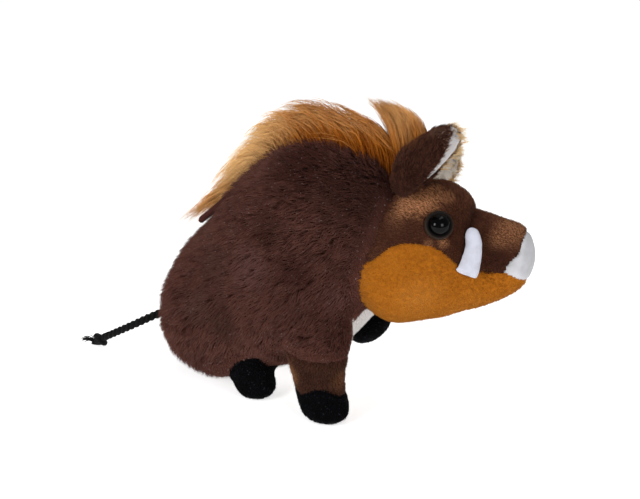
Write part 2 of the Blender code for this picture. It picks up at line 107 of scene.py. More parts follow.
# ----------------------------------------------------------
# Tail: three black cotton strands plaited together, sewn into the rump seam. It hangs down and
# back to the floor, ends in an overhand knot, and frays out past the knot.
TAIL_ROUTE = ((-0.1150, 0.003, 0.0425), (-0.1240, -0.002, 0.0385), (-0.1390, -0.009, 0.0317),
              (-0.1550, -0.014, 0.0228), (-0.1710, -0.015, 0.0136), (-0.1825, -0.013, 0.0068))
TAIL_THICK, STRAND_THICK = 0.0050, 0.0034
PLAIT_PITCH, PLAIT_SIDEWAYS, PLAIT_UP = 0.0125, 0.0017, 0.0011
TAIL_STEP = 0.0006


def eased_route(places, steps):
    """A smooth line through the places, with so many steps between each two."""
    places = [Vector(p) for p in places]
    ends = [places[0] * 2 - places[1], *places, places[-1] * 2 - places[-2]]
    line = []
    for before, start, stop, after in zip(ends, ends[1:], ends[2:], ends[3:]):
        for k in range(steps):
            t = k / steps
            line.append(0.5 * (2 * start + (stop - before) * t
                               + (2 * before - 5 * start + 4 * stop - after) * t * t
                               + (3 * start - before - 3 * stop + after) * t ** 3))
    return line + [places[-1]]


def even_steps(line, step):
    """The same line with a point at every step of its length, and how far along each point is."""
    line = np.array(line, float)
    run = np.concatenate([[0.0], np.cumsum(np.linalg.norm(np.diff(line, axis=0), axis=1))])
    at = np.linspace(0.0, run[-1], max(2, int(run[-1] / step) + 1))
    return [Vector([float(np.interp(s, run, line[:, k])) for k in range(3)]) for s in at], at


def strand(name, places, thick, shares=None, roundness=3):
    """A round strand of thread along the places. The shares narrow it from place to place."""
    curve = bpy.data.curves.new(name, "CURVE")
    curve.dimensions = "3D"
    curve.bevel_depth, curve.bevel_resolution = thick / 2, roundness
    curve.use_fill_caps = True
    spline = curve.splines.new("POLY")
    spline.points.add(len(places) - 1)
    for k, place in enumerate(places):
        spline.points[k].co = (*place, 1.0)
        spline.points[k].radius = 1.0 if shares is None else shares[k]
    return placed(name, curve)


def three_strands(line, run, pitch, sway, thick, roundness=3):
    """Three strands along a line, a third of a turn apart. The sway says how far to the side and
    how far up a strand goes at each angle of its turn."""
    strands = []
    for way in range(3):
        places = []
        for k, place in enumerate(line):
            ahead = (line[min(k + 1, len(line) - 1)] - line[max(k - 1, 0)]).normalized()
            side = ahead.cross(Vector((0, 0, 1))).normalized()
            sideways, up = sway(2 * math.pi * (run[k] / pitch + way / 3))
            places.append(place + side * sideways + side.cross(ahead).normalized() * up)
        strands.append(strand(f"strand_{way}", places, thick, roundness=roundness))
    return strands


def only(*pieces):
    """Selects these pieces and nothing else. The first is the active one."""
    bpy.ops.object.select_all(action="DESELECT")
    for piece in pieces:
        piece.select_set(True)
    bpy.context.view_layer.objects.active = pieces[0]


def just_made(name):
    """The piece that was made last, with this name."""
    piece = bpy.context.object
    piece.name = piece.data.name = name
    return piece


def bound_together(name, strands):
    """The strands as one mesh."""
    only(*strands)
    bpy.ops.object.convert(target="MESH")
    bpy.ops.object.join()
    piece = just_made(name)
    bpy.ops.object.shade_smooth()
    bpy.ops.object.select_all(action="DESELECT")
    return piece


def feed(finish, node, socket, value):
    """Sets an input of a node to a number or a colour, or leads another node's output into it."""
    target = node.inputs[socket]
    if isinstance(value, bpy.types.NodeSocket):
        finish.node_tree.links.new(value, target)
    elif isinstance(value, tuple):
        target.default_value = (*value, 1.0)[:len(target.default_value)]
    else:
        target.default_value = value


def step(finish, kind, inputs, output, **settings):
    """Adds a node to a finish, and gives one of its outputs."""
    node = finish.node_tree.nodes.new("ShaderNode" + kind)
    for key, value in settings.items():
        setattr(node, key, value)
    for socket, value in inputs.items():
        feed(finish, node, socket, value)
    return node.outputs[output]


def two_tones(finish, share, dark, light, start, stop):
    """A colour from dark to light, as the share goes from start to stop."""
    tones = finish.node_tree.nodes.new("ShaderNodeValToRGB")
    for end, position, colour in zip(tones.color_ramp.elements, (start, stop), (dark, light)):
        end.position, end.color = position, (*colour, 1.0)
    feed(finish, tones, "Fac", share)
    return tones.outputs["Color"]


def matt_from(finish, value, rough):
    """Roughness that follows a value, between the two numbers given."""
    return step(finish, "MapRange", {"Value": value, "To Min": rough[0], "To Max": rough[1]}, "Result")


def raised_by(finish, height, strength, distance):
    """Small bumps that follow a height."""
    return step(finish, "Bump", {"Height": height, "Strength": strength, "Distance": distance}, "Normal")


def new_finish(name):
    """An empty material, and the piece's own coordinates in it."""
    finish = bpy.data.materials.new(name)
    finish.use_nodes = True
    return finish, step(finish, "TexCoord", {}, "Object")


def surfaced(finish, colour, rough, raised, settings):
    """Puts a finish together on its shader, with the numbers that some of its own sockets take."""
    shader = finish.node_tree.nodes["Principled BSDF"]
    for socket, value in {"Base Color": colour, "Roughness": rough, "Normal": raised, **settings}.items():
        feed(finish, shader, socket, value)
    return finish


def cord_finish(name, dark, light, thread, sheen):
    """Spun thread: fine fibres across the strand, in two tones, with a little lustre."""
    finish, where = new_finish(name)
    fibres = step(finish, "TexNoise",
                  {"Vector": where, "Scale": 1.0 / thread, "Detail": 4.0, "Distortion": 1.2}, "Fac")
    return surfaced(finish, two_tones(finish, fibres, dark, light, 0.35, 0.70),
                    matt_from(finish, fibres, (0.55, 0.85)), raised_by(finish, fibres, 0.6, thread),
                    {"Sheen Weight": sheen, "Sheen Roughness": 0.4, "Specular IOR Level": 0.08})


black_cotton = cord_finish("black_cotton", (0.0020, 0.0023, 0.0021), (0.0075, 0.0085, 0.0075), 0.0005, 0.03)

tail_line, tail_run = even_steps(eased_route(TAIL_ROUTE, 12), TAIL_STEP)
tail = bound_together("tail_plait", three_strands(
    tail_line, tail_run, PLAIT_PITCH,
    lambda turn: (PLAIT_SIDEWAYS * math.sin(turn), PLAIT_UP * math.sin(2 * turn)), STRAND_THICK))
tail.data.materials.append(black_cotton)

KNOT_TURN = ((-0.1815, -0.0138, 0.0072), (-0.1835, -0.0163, 0.0088), (-0.1862, -0.0146, 0.0088),
             (-0.1868, -0.0106, 0.0068), (-0.1845, -0.0090, 0.0040), (-0.1815, -0.0106, 0.0026),
             (-0.1800, -0.0143, 0.0036), (-0.1820, -0.0166, 0.0062), (-0.1855, -0.0158, 0.0082),
             (-0.1880, -0.0128, 0.0070), (-0.1875, -0.0103, 0.0044), (-0.1850, -0.0110, 0.0020),
             (-0.1880, -0.0130, 0.0020), (-0.1905, -0.0142, 0.0026))
KNOT_HEART = ((-0.1815, -0.0130, 0.0070), (-0.1845, -0.0132, 0.0054), (-0.1880, -0.0138, 0.0040))
KNOT_THICK, HEART_THICK, KNOT_STEP = 0.0032, 0.0052, 0.0005
FRAYED_ENDS, FRAY_THICK, FRAY_ROOT = 22, 0.0008, Vector((-0.1890, -0.0140, 0.0040))
FRAY_TIP, FRAY_SPREAD, FRAY_SAG = (-0.1985, -0.0148, 0.0026), (0.0026, 0.0016, 0.0019), 0.0006
knot_strands = [strand("knot_wrap", even_steps(eased_route(KNOT_TURN, 10), KNOT_STEP)[0], KNOT_THICK)]
heart = eased_route(KNOT_HEART, 6)
knot_strands.append(strand("knot_heart", heart, HEART_THICK,
                           [0.7, 0.9] + [1.0] * (len(heart) - 4) + [0.9, 0.7]))
fray = np.random.default_rng(31)
for k in range(FRAYED_ENDS):
    spread = fray.normal(0.0, 1.0, 3)
    apart = abs(spread[0]), spread[1], abs(spread[2])
    tip = Vector([place + share * wide for place, share, wide in zip(FRAY_TIP, apart, FRAY_SPREAD)])
    root = FRAY_ROOT + Vector(fray.normal(0.0, FRAY_SAG, 3))
    bend = root.lerp(tip, 0.55) + Vector((0.0, spread[2] * FRAY_SAG, 0.0007))
    line = eased_route((root, bend, tip), 4)
    knot_strands.append(strand(f"fray_{k}", line, FRAY_THICK, list(np.linspace(1.0, 0.45, len(line))), 1))
knot = bound_together("tail_knot_frayed", knot_strands)
knot.data.materials.append(black_cotton)

for piece, node in ((tail, "tail"), (knot, "tail_knot")):
    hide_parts(node)
    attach(piece, "root")

# ----------------------------------------------------------
# Hang loop: a short loop of twisted maroon braid. Both its ends are sewn into the back, and it
# lies over to the right.
LOOP_ROOT, LOOP_END = Vector((-0.0690, -0.0150, 0.1340)), Vector((-0.0912, -0.0212, 0.1138))
LOOP_SPREAD, LOOP_THICK = 0.0027, 0.0030
LOOP_STRAND, LOOP_PITCH, LOOP_TWIST, LOOP_STEP = 0.0022, 0.0042, 0.00105, 0.0003
LOOP_POINTS, LOOP_SQUARED = 15, 0.6
LOOP_TAILS = Vector((0.0055, 0.0, -0.0030))
loop_route = []
for k in range(LOOP_POINTS):
    turn = math.pi * k / (LOOP_POINTS - 1)
    out = math.sin(turn) ** LOOP_SQUARED
    loop_route.append(LOOP_ROOT.lerp(LOOP_END, out) + Vector((0, LOOP_SPREAD * math.cos(turn), 0)))
loop_route = [loop_route[0] + LOOP_TAILS, *loop_route, loop_route[-1] + LOOP_TAILS]
loop_line, loop_run = even_steps(eased_route(loop_route, 8), LOOP_STEP)
hang_loop = bound_together("hang_loop_braid", three_strands(
    loop_line, loop_run, LOOP_PITCH,
    lambda turn: (LOOP_TWIST * math.cos(turn), LOOP_TWIST * math.sin(turn)), LOOP_STRAND, 2))
hang_loop.data.materials.append(
    cord_finish("maroon_braid", (0.030, 0.008, 0.007), (0.090, 0.028, 0.021), 0.0004, 0.05))
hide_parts("hang_loop")
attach(hang_loop, "root")

# ----------------------------------------------------------
# The sewn cover: plush panels stitched together inside out, turned, and stuffed tight. Each
# panel is one fabric. The backing cloth lies under its pile, and every seam pulls it in a little.
VOXEL, PATTERN_GROWN, BACKING = 0.0014, 0.0005, 0.0012
COVER_EVENED, SEAMS_EVENED, BESIDE_SEAMS_EVENED = 6, 14, 4
SEAM_PULL, BROW_PULL, UNDER_PILE, SINKING_STEPS, OFF_THE_FLOOR = 0.0009, 0.0016, 0.95, 8, 0.0006
SHORN, FULL_PILE_AT = 0.0019, 0.020
STUFFING_FRAMES, STUFFING_PRESSURE, STRETCH, MOST_PUFF, TAKEN_IN = 20, 40.0, 1.0, 0.0018, 0.0003
STUFFING_VOXEL, SEAM_HOLDS = 0.0045, 0.0030
# Where the stitches of the hang loop draw the back in, alike on both sides of the seam along it: the
# place on the right side, its reach and its depth
LOOP_DENT = (-0.0930, -0.0180, 0.1065), 0.028, 0.0056
# Where a seam strays from the pattern, on both sides of the toy: the place on the right side, its
# reach, and the stray
SEAM_STRAYS = (
    ((0.0133, -0.0528, 0.0262), 0.0130, (0.0, 0.0, 0.0042)),
    ((-0.0031, -0.0527, 0.0218), 0.0080, (0.0, 0.0, -0.0040)),
    ((-0.0340, -0.0428, 0.0360), 0.0130, (0.0, 0.0, 0.0035)),
    ((0.1151, -0.0010, 0.1074), 0.0120, (-0.0058, 0.0, 0.0015)),
    ((-0.0328, -0.0190, 0.0199), 0.0150, (0.0, 0.0060, -0.0020)),
)
SIDES = "right", "left"
# Each panel: its piece, its fabric, the depth of its pile, and the solids it covers
PANELS = (
    ("body_cover", "long_pile", 0.0062,
     ("trunk", "hindleg_right", "hindleg_left", "foreleg_right", "foreleg_left")),
    ("face_cover", "short_pile", 0.0017, ("head",)),
    ("muzzle_cover", "short_pile", 0.0015, ("muzzle",)),
    ("chin_cover", "orange_plush", 0.0017, ("jaw",)),
    ("snout_cover", "white_felt", 0.0011, ("nose",)),
    ("belly_cover", "white_plush", 0.0015, ("belly_panel",)),
    *[(f"cuff_cover_{side}", "short_pile", 0.0018, (f"foreleg_cuff_{side}",)) for side in SIDES],
    *[(f"inner_cover_{side}", "white_plush", 0.0013, (f"foreleg_inner_{side}",)) for side in SIDES],
    *[(f"paw_{end}_{side}", "black_plush", 0.0012, (f"hoof_{end}_{side}",))
      for end in ("fore", "hind") for side in SIDES],
)
BODY, FACE, MUZZLE = 0, 1, 2


def take(items, key, across=1, kind=np.float32):
    """One number or row of numbers for each item, as an array."""
    values = np.empty(len(items) * across, kind)
    items.foreach_get(key, values)
    return values.reshape(-1, across) if across > 1 else values


def places_of(piece):
    """Where the points of a piece are."""
    return take(piece.data.vertices, "co", 3).astype(float)


def put(piece, places):
    """Moves the points of a piece to these places."""
    piece.data.vertices.foreach_set("co", places.astype(np.float32).ravel())
    piece.data.update()


def note(mesh, name, values):
    """Writes a number for each point of a mesh."""
    mesh.attributes.new(name, "FLOAT", "POINT").data.foreach_set("value", values.astype(np.float32))


def tree_of(places):
    """A search tree that finds the nearest of these places."""
    tree = KDTree(len(places))
    for k, place in enumerate(places):
        tree.insert(place, k)
    tree.balance()
    return tree


def distances(places, tree):
    """How far each place is from the nearest one in the tree."""
    return np.array([tree.find(Vector(place))[2] for place in places])


@contextmanager
def opened(piece, pick="SELECT"):
    """Opens a piece for mesh editing with all of it picked, or none, and closes it afterwards."""
    only(piece)
    bpy.ops.object.mode_set(mode="EDIT")
    bpy.ops.mesh.select_all(action=pick)
    yield
    bpy.ops.object.mode_set(mode="OBJECT")


def welded_copy(node, name, swell):
    """A copy of a part's solid with its loose triangles welded, grown outwards by the swell."""
    piece = placed(name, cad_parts[node].data.copy())
    piece.data.materials.clear()
    with opened(piece):
        bpy.ops.mesh.remove_doubles(threshold=1e-6)
    if swell:
        grow = piece.modifiers.new("grow", "DISPLACE")
        grow.strength, grow.mid_level = swell, 0.0
        bpy.ops.object.modifier_apply(modifier="grow")
    return piece


def remeshed(piece, voxel):
    """The piece as one even skin of small squares."""
    only(piece)
    skin = piece.modifiers.new("skin", "REMESH")
    skin.mode, skin.voxel_size, skin.adaptivity = "VOXEL", voxel, 0.0
    bpy.ops.object.modifier_apply(modifier="skin")
    return piece


def blended(values, edges, rounds, hold=0.5):
    """Values at the corners of a mesh, evened out with their neighbours'."""
    values = values.astype(float)
    flat = values.reshape(len(values), -1)
    near = np.bincount(edges.ravel(), minlength=len(flat)).clip(1)[:, None]
    for _ in range(rounds):
        total = np.stack([np.bincount(edges[:, 0], flat[edges[:, 1], k], len(flat))
                          + np.bincount(edges[:, 1], flat[edges[:, 0], k], len(flat))
                          for k in range(flat.shape[1])], 1)
        flat = flat * hold + total / near * (1 - hold)
    return flat.reshape(values.shape)


def hill(places, middle, reach):
    """A hill over the places: 1 at its middle, easing down to 0 at its reach."""
    away = np.linalg.norm(places - np.array(middle), axis=1) / reach
    return ((1 - away.clip(0, 1) ** 2) ** 2)[:, None]


# The covered solids' triangles, to find which panel a place on the cover belongs to
solid_points, solid_faces, panel_of_face = [], [], []
for k, panel in enumerate(PANELS):
    for node in panel[3]:
        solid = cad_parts[node].data
        base = len(solid_points)
        solid_points += [v.co.copy() for v in solid.vertices]
        solid_faces += [tuple(base + i for i in p.vertices) for p in solid.polygons]
        panel_of_face += [k] * len(solid.polygons)
solids = BVHTree.FromPolygons(solid_points, solid_faces)

patterns = [welded_copy(node, node + "_pattern", PATTERN_GROWN) for panel in PANELS for node in panel[3]]
only(*patterns)
bpy.ops.object.join()
cover = remeshed(bpy.context.object, VOXEL)
edges = take(cover.data.edges, "vertices", 2, np.int32)
corners = take(cover.data.loops, "vertex_index", 1, np.int32)
corner_edges = take(cover.data.loops, "edge_index", 1, np.int32)
per_face = take(cover.data.polygons, "loop_total", 1, np.int32)
corner_face = np.repeat(np.arange(len(per_face)), per_face)
points = blended(places_of(cover), edges, COVER_EVENED)

# Each face takes the fabric of the nearest solid. The seams between the fabrics are evened out.
mirrored = np.stack([points[:, 0], -np.abs(points[:, 1]), points[:, 2]], 1)
looked_up = points.copy()
for middle, reach, stray in SEAM_STRAYS:
    looked_up -= hill(mirrored, middle, reach) * np.array(stray)
belongs = np.zeros((len(points), len(PANELS)))
for k, place in enumerate(looked_up):
    belongs[k, panel_of_face[solids.find_nearest(Vector(place))[2]]] = 1.0
belongs = blended(belongs, edges, 3)
face_fabric = np.stack([np.bincount(corner_face, belongs[corners, k], len(per_face))
                        for k in range(len(PANELS))], 1).argmax(1)
first, last = np.full(len(edges), len(PANELS)), np.full(len(edges), -1)
np.minimum.at(first, corner_edges, face_fabric[corner_face])
np.maximum.at(last, corner_edges, face_fabric[corner_face])
seam_edges = edges[first != last]
on_seam = np.zeros(len(points), bool)
on_seam[seam_edges.ravel()] = True
points[on_seam] = blended(points, seam_edges, SEAMS_EVENED)[on_seam]
points[~on_seam] = blended(points, edges, BESIDE_SEAMS_EVENED)[~on_seam]
dent_at, dent_reach, dent_depth = LOOP_DENT
dent = hill(mirrored, dent_at, dent_reach) * dent_depth
points = points - dent * take(cover.data.vertex_normals, "vector", 3)

# The stuffing: a coarse copy of the cover is blown up as cloth with its seams held. Its swelling,
# capped, is carried over to the fine cover, which starts a little smaller.
put(cover, points)
pattern = remeshed(placed("stuffed_pattern", cover.data.copy()), STUFFING_VOXEL)
flat_places = places_of(pattern)
seam_distance = distances(flat_places, tree_of(points[on_seam]))
held = pattern.vertex_groups.new(name="seams")
held.add(np.flatnonzero(seam_distance < SEAM_HOLDS).tolist(), 1.0, "REPLACE")
stuffing = pattern.modifiers.new("stuffing", "CLOTH")
cloth = stuffing.settings
cloth.use_pressure, cloth.uniform_pressure_force = True, STUFFING_PRESSURE
cloth.tension_stiffness = cloth.compression_stiffness = STRETCH
cloth.shear_stiffness, cloth.bending_stiffness = STRETCH / 3, STRETCH / 10
cloth.effector_weights.gravity = 0.0
cloth.vertex_group_mass = "seams"
stuffing.point_cache.frame_start, stuffing.point_cache.frame_end = 1, STUFFING_FRAMES
for frame_number in range(1, STUFFING_FRAMES + 1):
    bpy.context.scene.frame_set(frame_number)
only(pattern)
bpy.ops.object.modifier_apply(modifier="stuffing")
bpy.context.scene.frame_set(1)
swelling = places_of(pattern) - flat_places
far = np.linalg.norm(swelling, axis=1, keepdims=True)
swelling *= np.tanh(far / MOST_PUFF) * MOST_PUFF / far.clip(1e-9)
coarse = tree_of(flat_places)
carried = np.zeros_like(points)
for k, place in enumerate(points):
    near = coarse.find_n(place, 4)
    shares = np.array([1 / (hit[2] + 1e-4) for hit in near])
    carried[k] = (swelling[[hit[1] for hit in near]] * (shares / shares.sum())[:, None]).sum(0)
outward = take(cover.data.vertex_normals, "vector", 3)
points = points + blended(carried, edges, 8) - outward * TAKEN_IN
bpy.data.objects.remove(pattern)

# The long pile is clipped short beside every other fabric, and grows to its full depth away from
# it. The cloth lies under its pile, and deeper along the seams, most of all at the brow.
fabric = belongs.argmax(1)
grown = np.clip(distances(points, tree_of(points[fabric != BODY])) / FULL_PILE_AT, 0, 1)
body_depth = SHORN + (PANELS[BODY][2] - SHORN) * grown * grown * (3 - 2 * grown)
pile_depth = np.where(fabric == BODY, body_depth, np.array([panel[2] for panel in PANELS])[fabric])
pile_depth = blended(pile_depth, edges, 4)
seam_near = blended(on_seam.astype(float), edges, 2)
on_brow = np.zeros(len(points))
on_brow[seam_edges[np.isin(fabric[seam_edges], (FACE, MUZZLE)).all(1)].ravel()] = 1.0
brow_near = blended(on_brow, edges, 3)
sunk = (pile_depth * UNDER_PILE - 0.0001 + SEAM_PULL * (seam_near / seam_near.max())
        + BROW_PULL * (brow_near / max(1e-6, brow_near.max())))
for _ in range(SINKING_STEPS):
    put(cover, points)
    points = points - take(cover.data.vertex_normals, "vector", 3) * (sunk / SINKING_STEPS)[:, None]
    points = blended(points, edges, 1, 0.85)
points[:, 2] = points[:, 2].clip(OFF_THE_FLOOR)
put(cover, points)
note(cover.data, "pile_depth", pile_depth)

for panel in PANELS:
    cover.data.materials.append(bpy.data.materials.new(panel[0] + "_tag"))
cover.data.polygons.foreach_set("material_index", face_fabric.astype(np.int32))
with opened(cover):
    bpy.ops.mesh.separate(type="MATERIAL")
bpy.ops.object.shade_smooth()


def unwrapped(piece):
    """Cuts the piece's own shape open flat."""
    with opened(piece):
        piece.data.uv_layers.new(name="OFBake")
        bpy.ops.uv.smart_project(angle_limit=math.radians(66), island_margin=0.006)


def ground_of(piece):
    """What a coat needs of the cloth it grows on: triangles, normals, pile depth and flat map."""
    mesh = piece.data
    mesh.calc_loop_triangles()
    ground = {
        "points": places_of(piece),
        "normals": take(mesh.vertex_normals, "vector", 3).astype(float),
        "corners": take(mesh.loop_triangles, "vertices", 3, np.int32),
        "loops": take(mesh.loop_triangles, "loops", 3, np.int32),
        "flat": take(mesh.uv_layers["OFBake"].data, "uv", 2).astype(float),
    }
    if "pile_depth" in mesh.attributes:
        ground["depth"] = take(mesh.attributes["pile_depth"].data, "value").astype(float)
    return ground


panels, grounds = {}, {}
for piece in list(bpy.context.selected_objects):
    tag = piece.data.materials[piece.data.polygons[0].material_index].name
    name, slot, _, nodes = next(p for p in PANELS if p[0] + "_tag" == tag)
    piece.name = piece.data.name = name
    piece.data.materials.clear()
    panels[name] = piece
    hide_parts(*nodes)
    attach(piece, "root")
for name, piece in panels.items():
    unwrapped(piece)
    grounds[name] = ground_of(piece)
    only(piece)
    backing = piece.modifiers.new("backing", "SOLIDIFY")
    backing.thickness, backing.offset, backing.use_rim = BACKING, -1.0, True
    bpy.ops.object.modifier_apply(modifier="backing")

# ----------------------------------------------------------
# Body pile: long, soft, dark brown fibres in loose clumps. It leans back and down, stands away
# from the cloth by its own depth, and is shorter where a seam holds it down.
BODY_SPACING, BODY_HAIR, SHORN_FIBRE, FULL_FIBRE, FULL_OVER = 0.00086, 0.00050, 0.95, 0.60, 0.0020
REAR_FROM, LOW_FROM, FLOW_TURNS_OVER = -0.070, 0.075, 0.05
FLOW_BACK, FLOW_REAR, FLOW_LOW = (np.array(way) for way in ([-0.75, 0.0, -0.6], [-0.25, 0.0, -1.0],
                                                            [-0.2, 0.0, -1.0]))
# Painted light on the pile, and some tone: painted shade over the shoulder below the ear, in dips of
# the flank and low by the hind leg, painted pink highlights on the flank, and greyer brown patches on
# the rump. Each: the place, its reach, the colour and its strength
BODY_SHADE_HIGHLIGHT_AND_TONE = (
    ((0.0250, -0.0250, 0.1580), 0.050, (0.040, 0.0130, 0.0095), 0.75),
    ((-0.0143, -0.0285, 0.1646), 0.034, (0.045, 0.0135, 0.0098), 0.80),
    ((-0.0361, -0.0558, 0.1021), 0.020, (0.168, 0.074, 0.064), 0.85),
    ((0.0209, -0.0461, 0.0858), 0.016, (0.150, 0.064, 0.054), 0.70),
    ((-0.0044, -0.0558, 0.1026), 0.017, (0.060, 0.0180, 0.0140), 0.75),
    ((-0.0252, -0.0518, 0.1232), 0.015, (0.060, 0.0210, 0.0140), 0.70),
    ((-0.0566, -0.0561, 0.0566), 0.017, (0.066, 0.0260, 0.0170), 0.70),
    ((-0.0761, -0.0554, 0.0671), 0.018, (0.125, 0.056, 0.043), 0.60),
    ((-0.0650, -0.0500, 0.0990), 0.020, (0.090, 0.040, 0.030), 0.55),
)


def pile_finish(name, root, low, high, mottle=0.010, clump=0.002, rough=(0.7, 0.95), sheen=0.03,
                sheen_tint=(1.0, 1.0, 1.0), shine=0.05, patches=(), tips=None, painted_glints=None):
    """Pile fabric. Fibres are darkest at the root, and vary from low to high in broad patches, from
    clump to clump and from fibre to fibre. Patches tint it further, among them painted shade and
    painted highlight, and so do the fibres' tips; painted glints strew it with tiny highlights."""
    finish, where = new_finish(name)

    def cloud(size, detail=3.0):
        return step(finish, "TexNoise", {"Vector": where, "Scale": 1.0 / size, "Detail": detail}, "Fac")

    def sum_of(*terms):
        total = 0.0
        for value, weight in terms:
            total = step(finish, "Math", {0: value, 1: weight, 2: total}, 0, operation="MULTIPLY_ADD")
        return total

    def mixed(share, first, second):
        return step(finish, "Mix", {"Factor": share, "A": first, "B": second}, "Result", data_type="RGBA")

    def ramped(value, start, stop):
        return step(finish, "MapRange", {"Value": value, "From Min": start, "From Max": stop}, "Result",
                    interpolation_type="SMOOTHSTEP")

    tone = step(finish, "Attribute", {}, "Fac", attribute_name="tone")
    along = step(finish, "Attribute", {}, "Fac", attribute_name="along")
    broad, fine = cloud(mottle), cloud(clump)
    colour = mixed(ramped(sum_of((broad, 1.0), (fine, 0.7), (tone, 0.8)), 0.75, 1.65), low, high)
    for centre, reach, tint, strength in patches:
        away = step(finish, "VectorMath", {0: where, 1: centre}, "Value", operation="DISTANCE")
        near = ramped(sum_of((away, 1.0), (fine, reach * 0.6)), reach * 1.3, reach * 0.45)
        colour = mixed(sum_of((near, strength)), colour, tint)
    colour = mixed(ramped(along, -0.25, 0.75), root, colour)
    if tips:
        tip_colour, share = tips
        colour = mixed(ramped(along, 0.35, 1.0), colour, mixed(share, colour, tip_colour))
    if painted_glints:
        # Painted glints: the brightest tiny dots take the glint colour, as if they caught the light
        size, glint, amount = painted_glints
        dots = step(finish, "TexVoronoi", {"Vector": where, "Scale": 1.0 / size}, "Color")
        bright = step(finish, "SeparateColor", {"Color": dots}, "Red")
        colour = mixed(ramped(bright, 1.0 - amount, 1.02), colour, glint)
    return surfaced(finish, colour, matt_from(finish, fine, rough),
                    raised_by(finish, cloud(0.0007, 2.0), 0.5, 0.0006),
                    {"Sheen Weight": sheen, "Sheen Roughness": 0.45, "Sheen Tint": sheen_tint,
                     "Specular IOR Level": shine})


def unit(rows):
    """Rows of numbers as directions of length one."""
    return rows / np.linalg.norm(rows, axis=-1, keepdims=True).clip(1e-9)


def pick_roots(ground, spacing, draw):
    """Places spread evenly over the cloth, one to each square of the spacing."""
    triangle = ground["points"][ground["corners"]]
    area = np.linalg.norm(np.cross(triangle[:, 1] - triangle[:, 0], triangle[:, 2] - triangle[:, 0]),
                          axis=1) / 2
    run = np.cumsum(area)
    count = int(run[-1] / spacing ** 2)
    pick = np.searchsorted(run, (np.arange(count) + draw.random(count)) / count * run[-1])
    pick = pick.clip(0, len(area) - 1)
    a, b = draw.random((2, count))
    turn_back = a + b > 1
    a[turn_back], b[turn_back] = 1 - a[turn_back], 1 - b[turn_back]
    share = np.stack([1 - a - b, a, b], 1)[:, :, None]
    corner = ground["corners"][pick]
    roots = {
        "at": (ground["points"][corner] * share).sum(1),
        "out": unit((ground["normals"][corner] * share).sum(1)),
        "flat": (ground["flat"][ground["loops"][pick]] * share).sum(1),
    }
    if "depth" in ground:
        roots["depth"] = (ground["depth"][corner] * share[:, :, 0]).sum(1)
    return roots


def chosen(roots, keep):
    """Only some of the roots."""
    return {key: values[keep] for key, values in roots.items()}


def tuft_mesh(name, lines, radii, outward, flat, tones, finish):
    """One closed, tapering, three-sided tuft along each line. The lines end in a point."""
    count, rings = lines.shape[:2]
    ahead = np.gradient(lines, axis=1)
    side = unit(np.cross(ahead, outward[:, None, :]))
    over = unit(np.cross(side, ahead))
    around = [math.pi / 2 + 2 * math.pi * k / 3 for k in range(3)]
    ring = np.stack([lines[:, :-1] + radii[:, :-1, None]
                     * (math.cos(t) * side[:, :-1] + math.sin(t) * over[:, :-1]) for t in around], 2)
    per = (rings - 1) * 3 + 1
    places = np.concatenate([ring.reshape(count, -1, 3), lines[:, -1:]], 1)
    faces = [(0, 2, 1)]
    for k in range(rings - 2):
        for j in range(3):
            a, b = 3 * k + j, 3 * k + (j + 1) % 3
            faces += [(a, b, b + 3), (a, b + 3, a + 3)]
    top = 3 * (rings - 2)
    faces += [(top + j, top + (j + 1) % 3, per - 1) for j in range(3)]
    index = (np.array(faces)[None] + (np.arange(count) * per)[:, None, None]).reshape(-1)
    mesh = bpy.data.meshes.new(name)
    mesh.vertices.add(count * per)
    mesh.vertices.foreach_set("co", places.astype(np.float32).ravel())
    mesh.loops.add(len(index))
    mesh.loops.foreach_set("vertex_index", index.astype(np.int32))
    mesh.polygons.add(len(index) // 3)
    mesh.polygons.foreach_set("loop_start", np.arange(0, len(index), 3, dtype=np.int32))
    mesh.update(calc_edges=True)
    mesh.polygons.foreach_set("use_smooth", np.ones(len(index) // 3, bool))
    level = np.concatenate([np.repeat(np.linspace(0, 1, rings)[:-1], 3), [1.0]])
    across = np.concatenate([np.tile([-0.0015, 0.0, 0.0015], rings - 1), [0.0]])
    patch = flat[:, None, :] + np.stack([across, level * 0.003], 1)[None]
    flat_map = mesh.uv_layers.new(name="OFBake")
    flat_map.data.foreach_set("uv", patch.reshape(-1, 2)[index].astype(np.float32).ravel())
    note(mesh, "along", np.tile(level, count))
    note(mesh, "tone", np.repeat(tones, per))
    mesh.materials.append(finish)
    return placed(name, mesh)


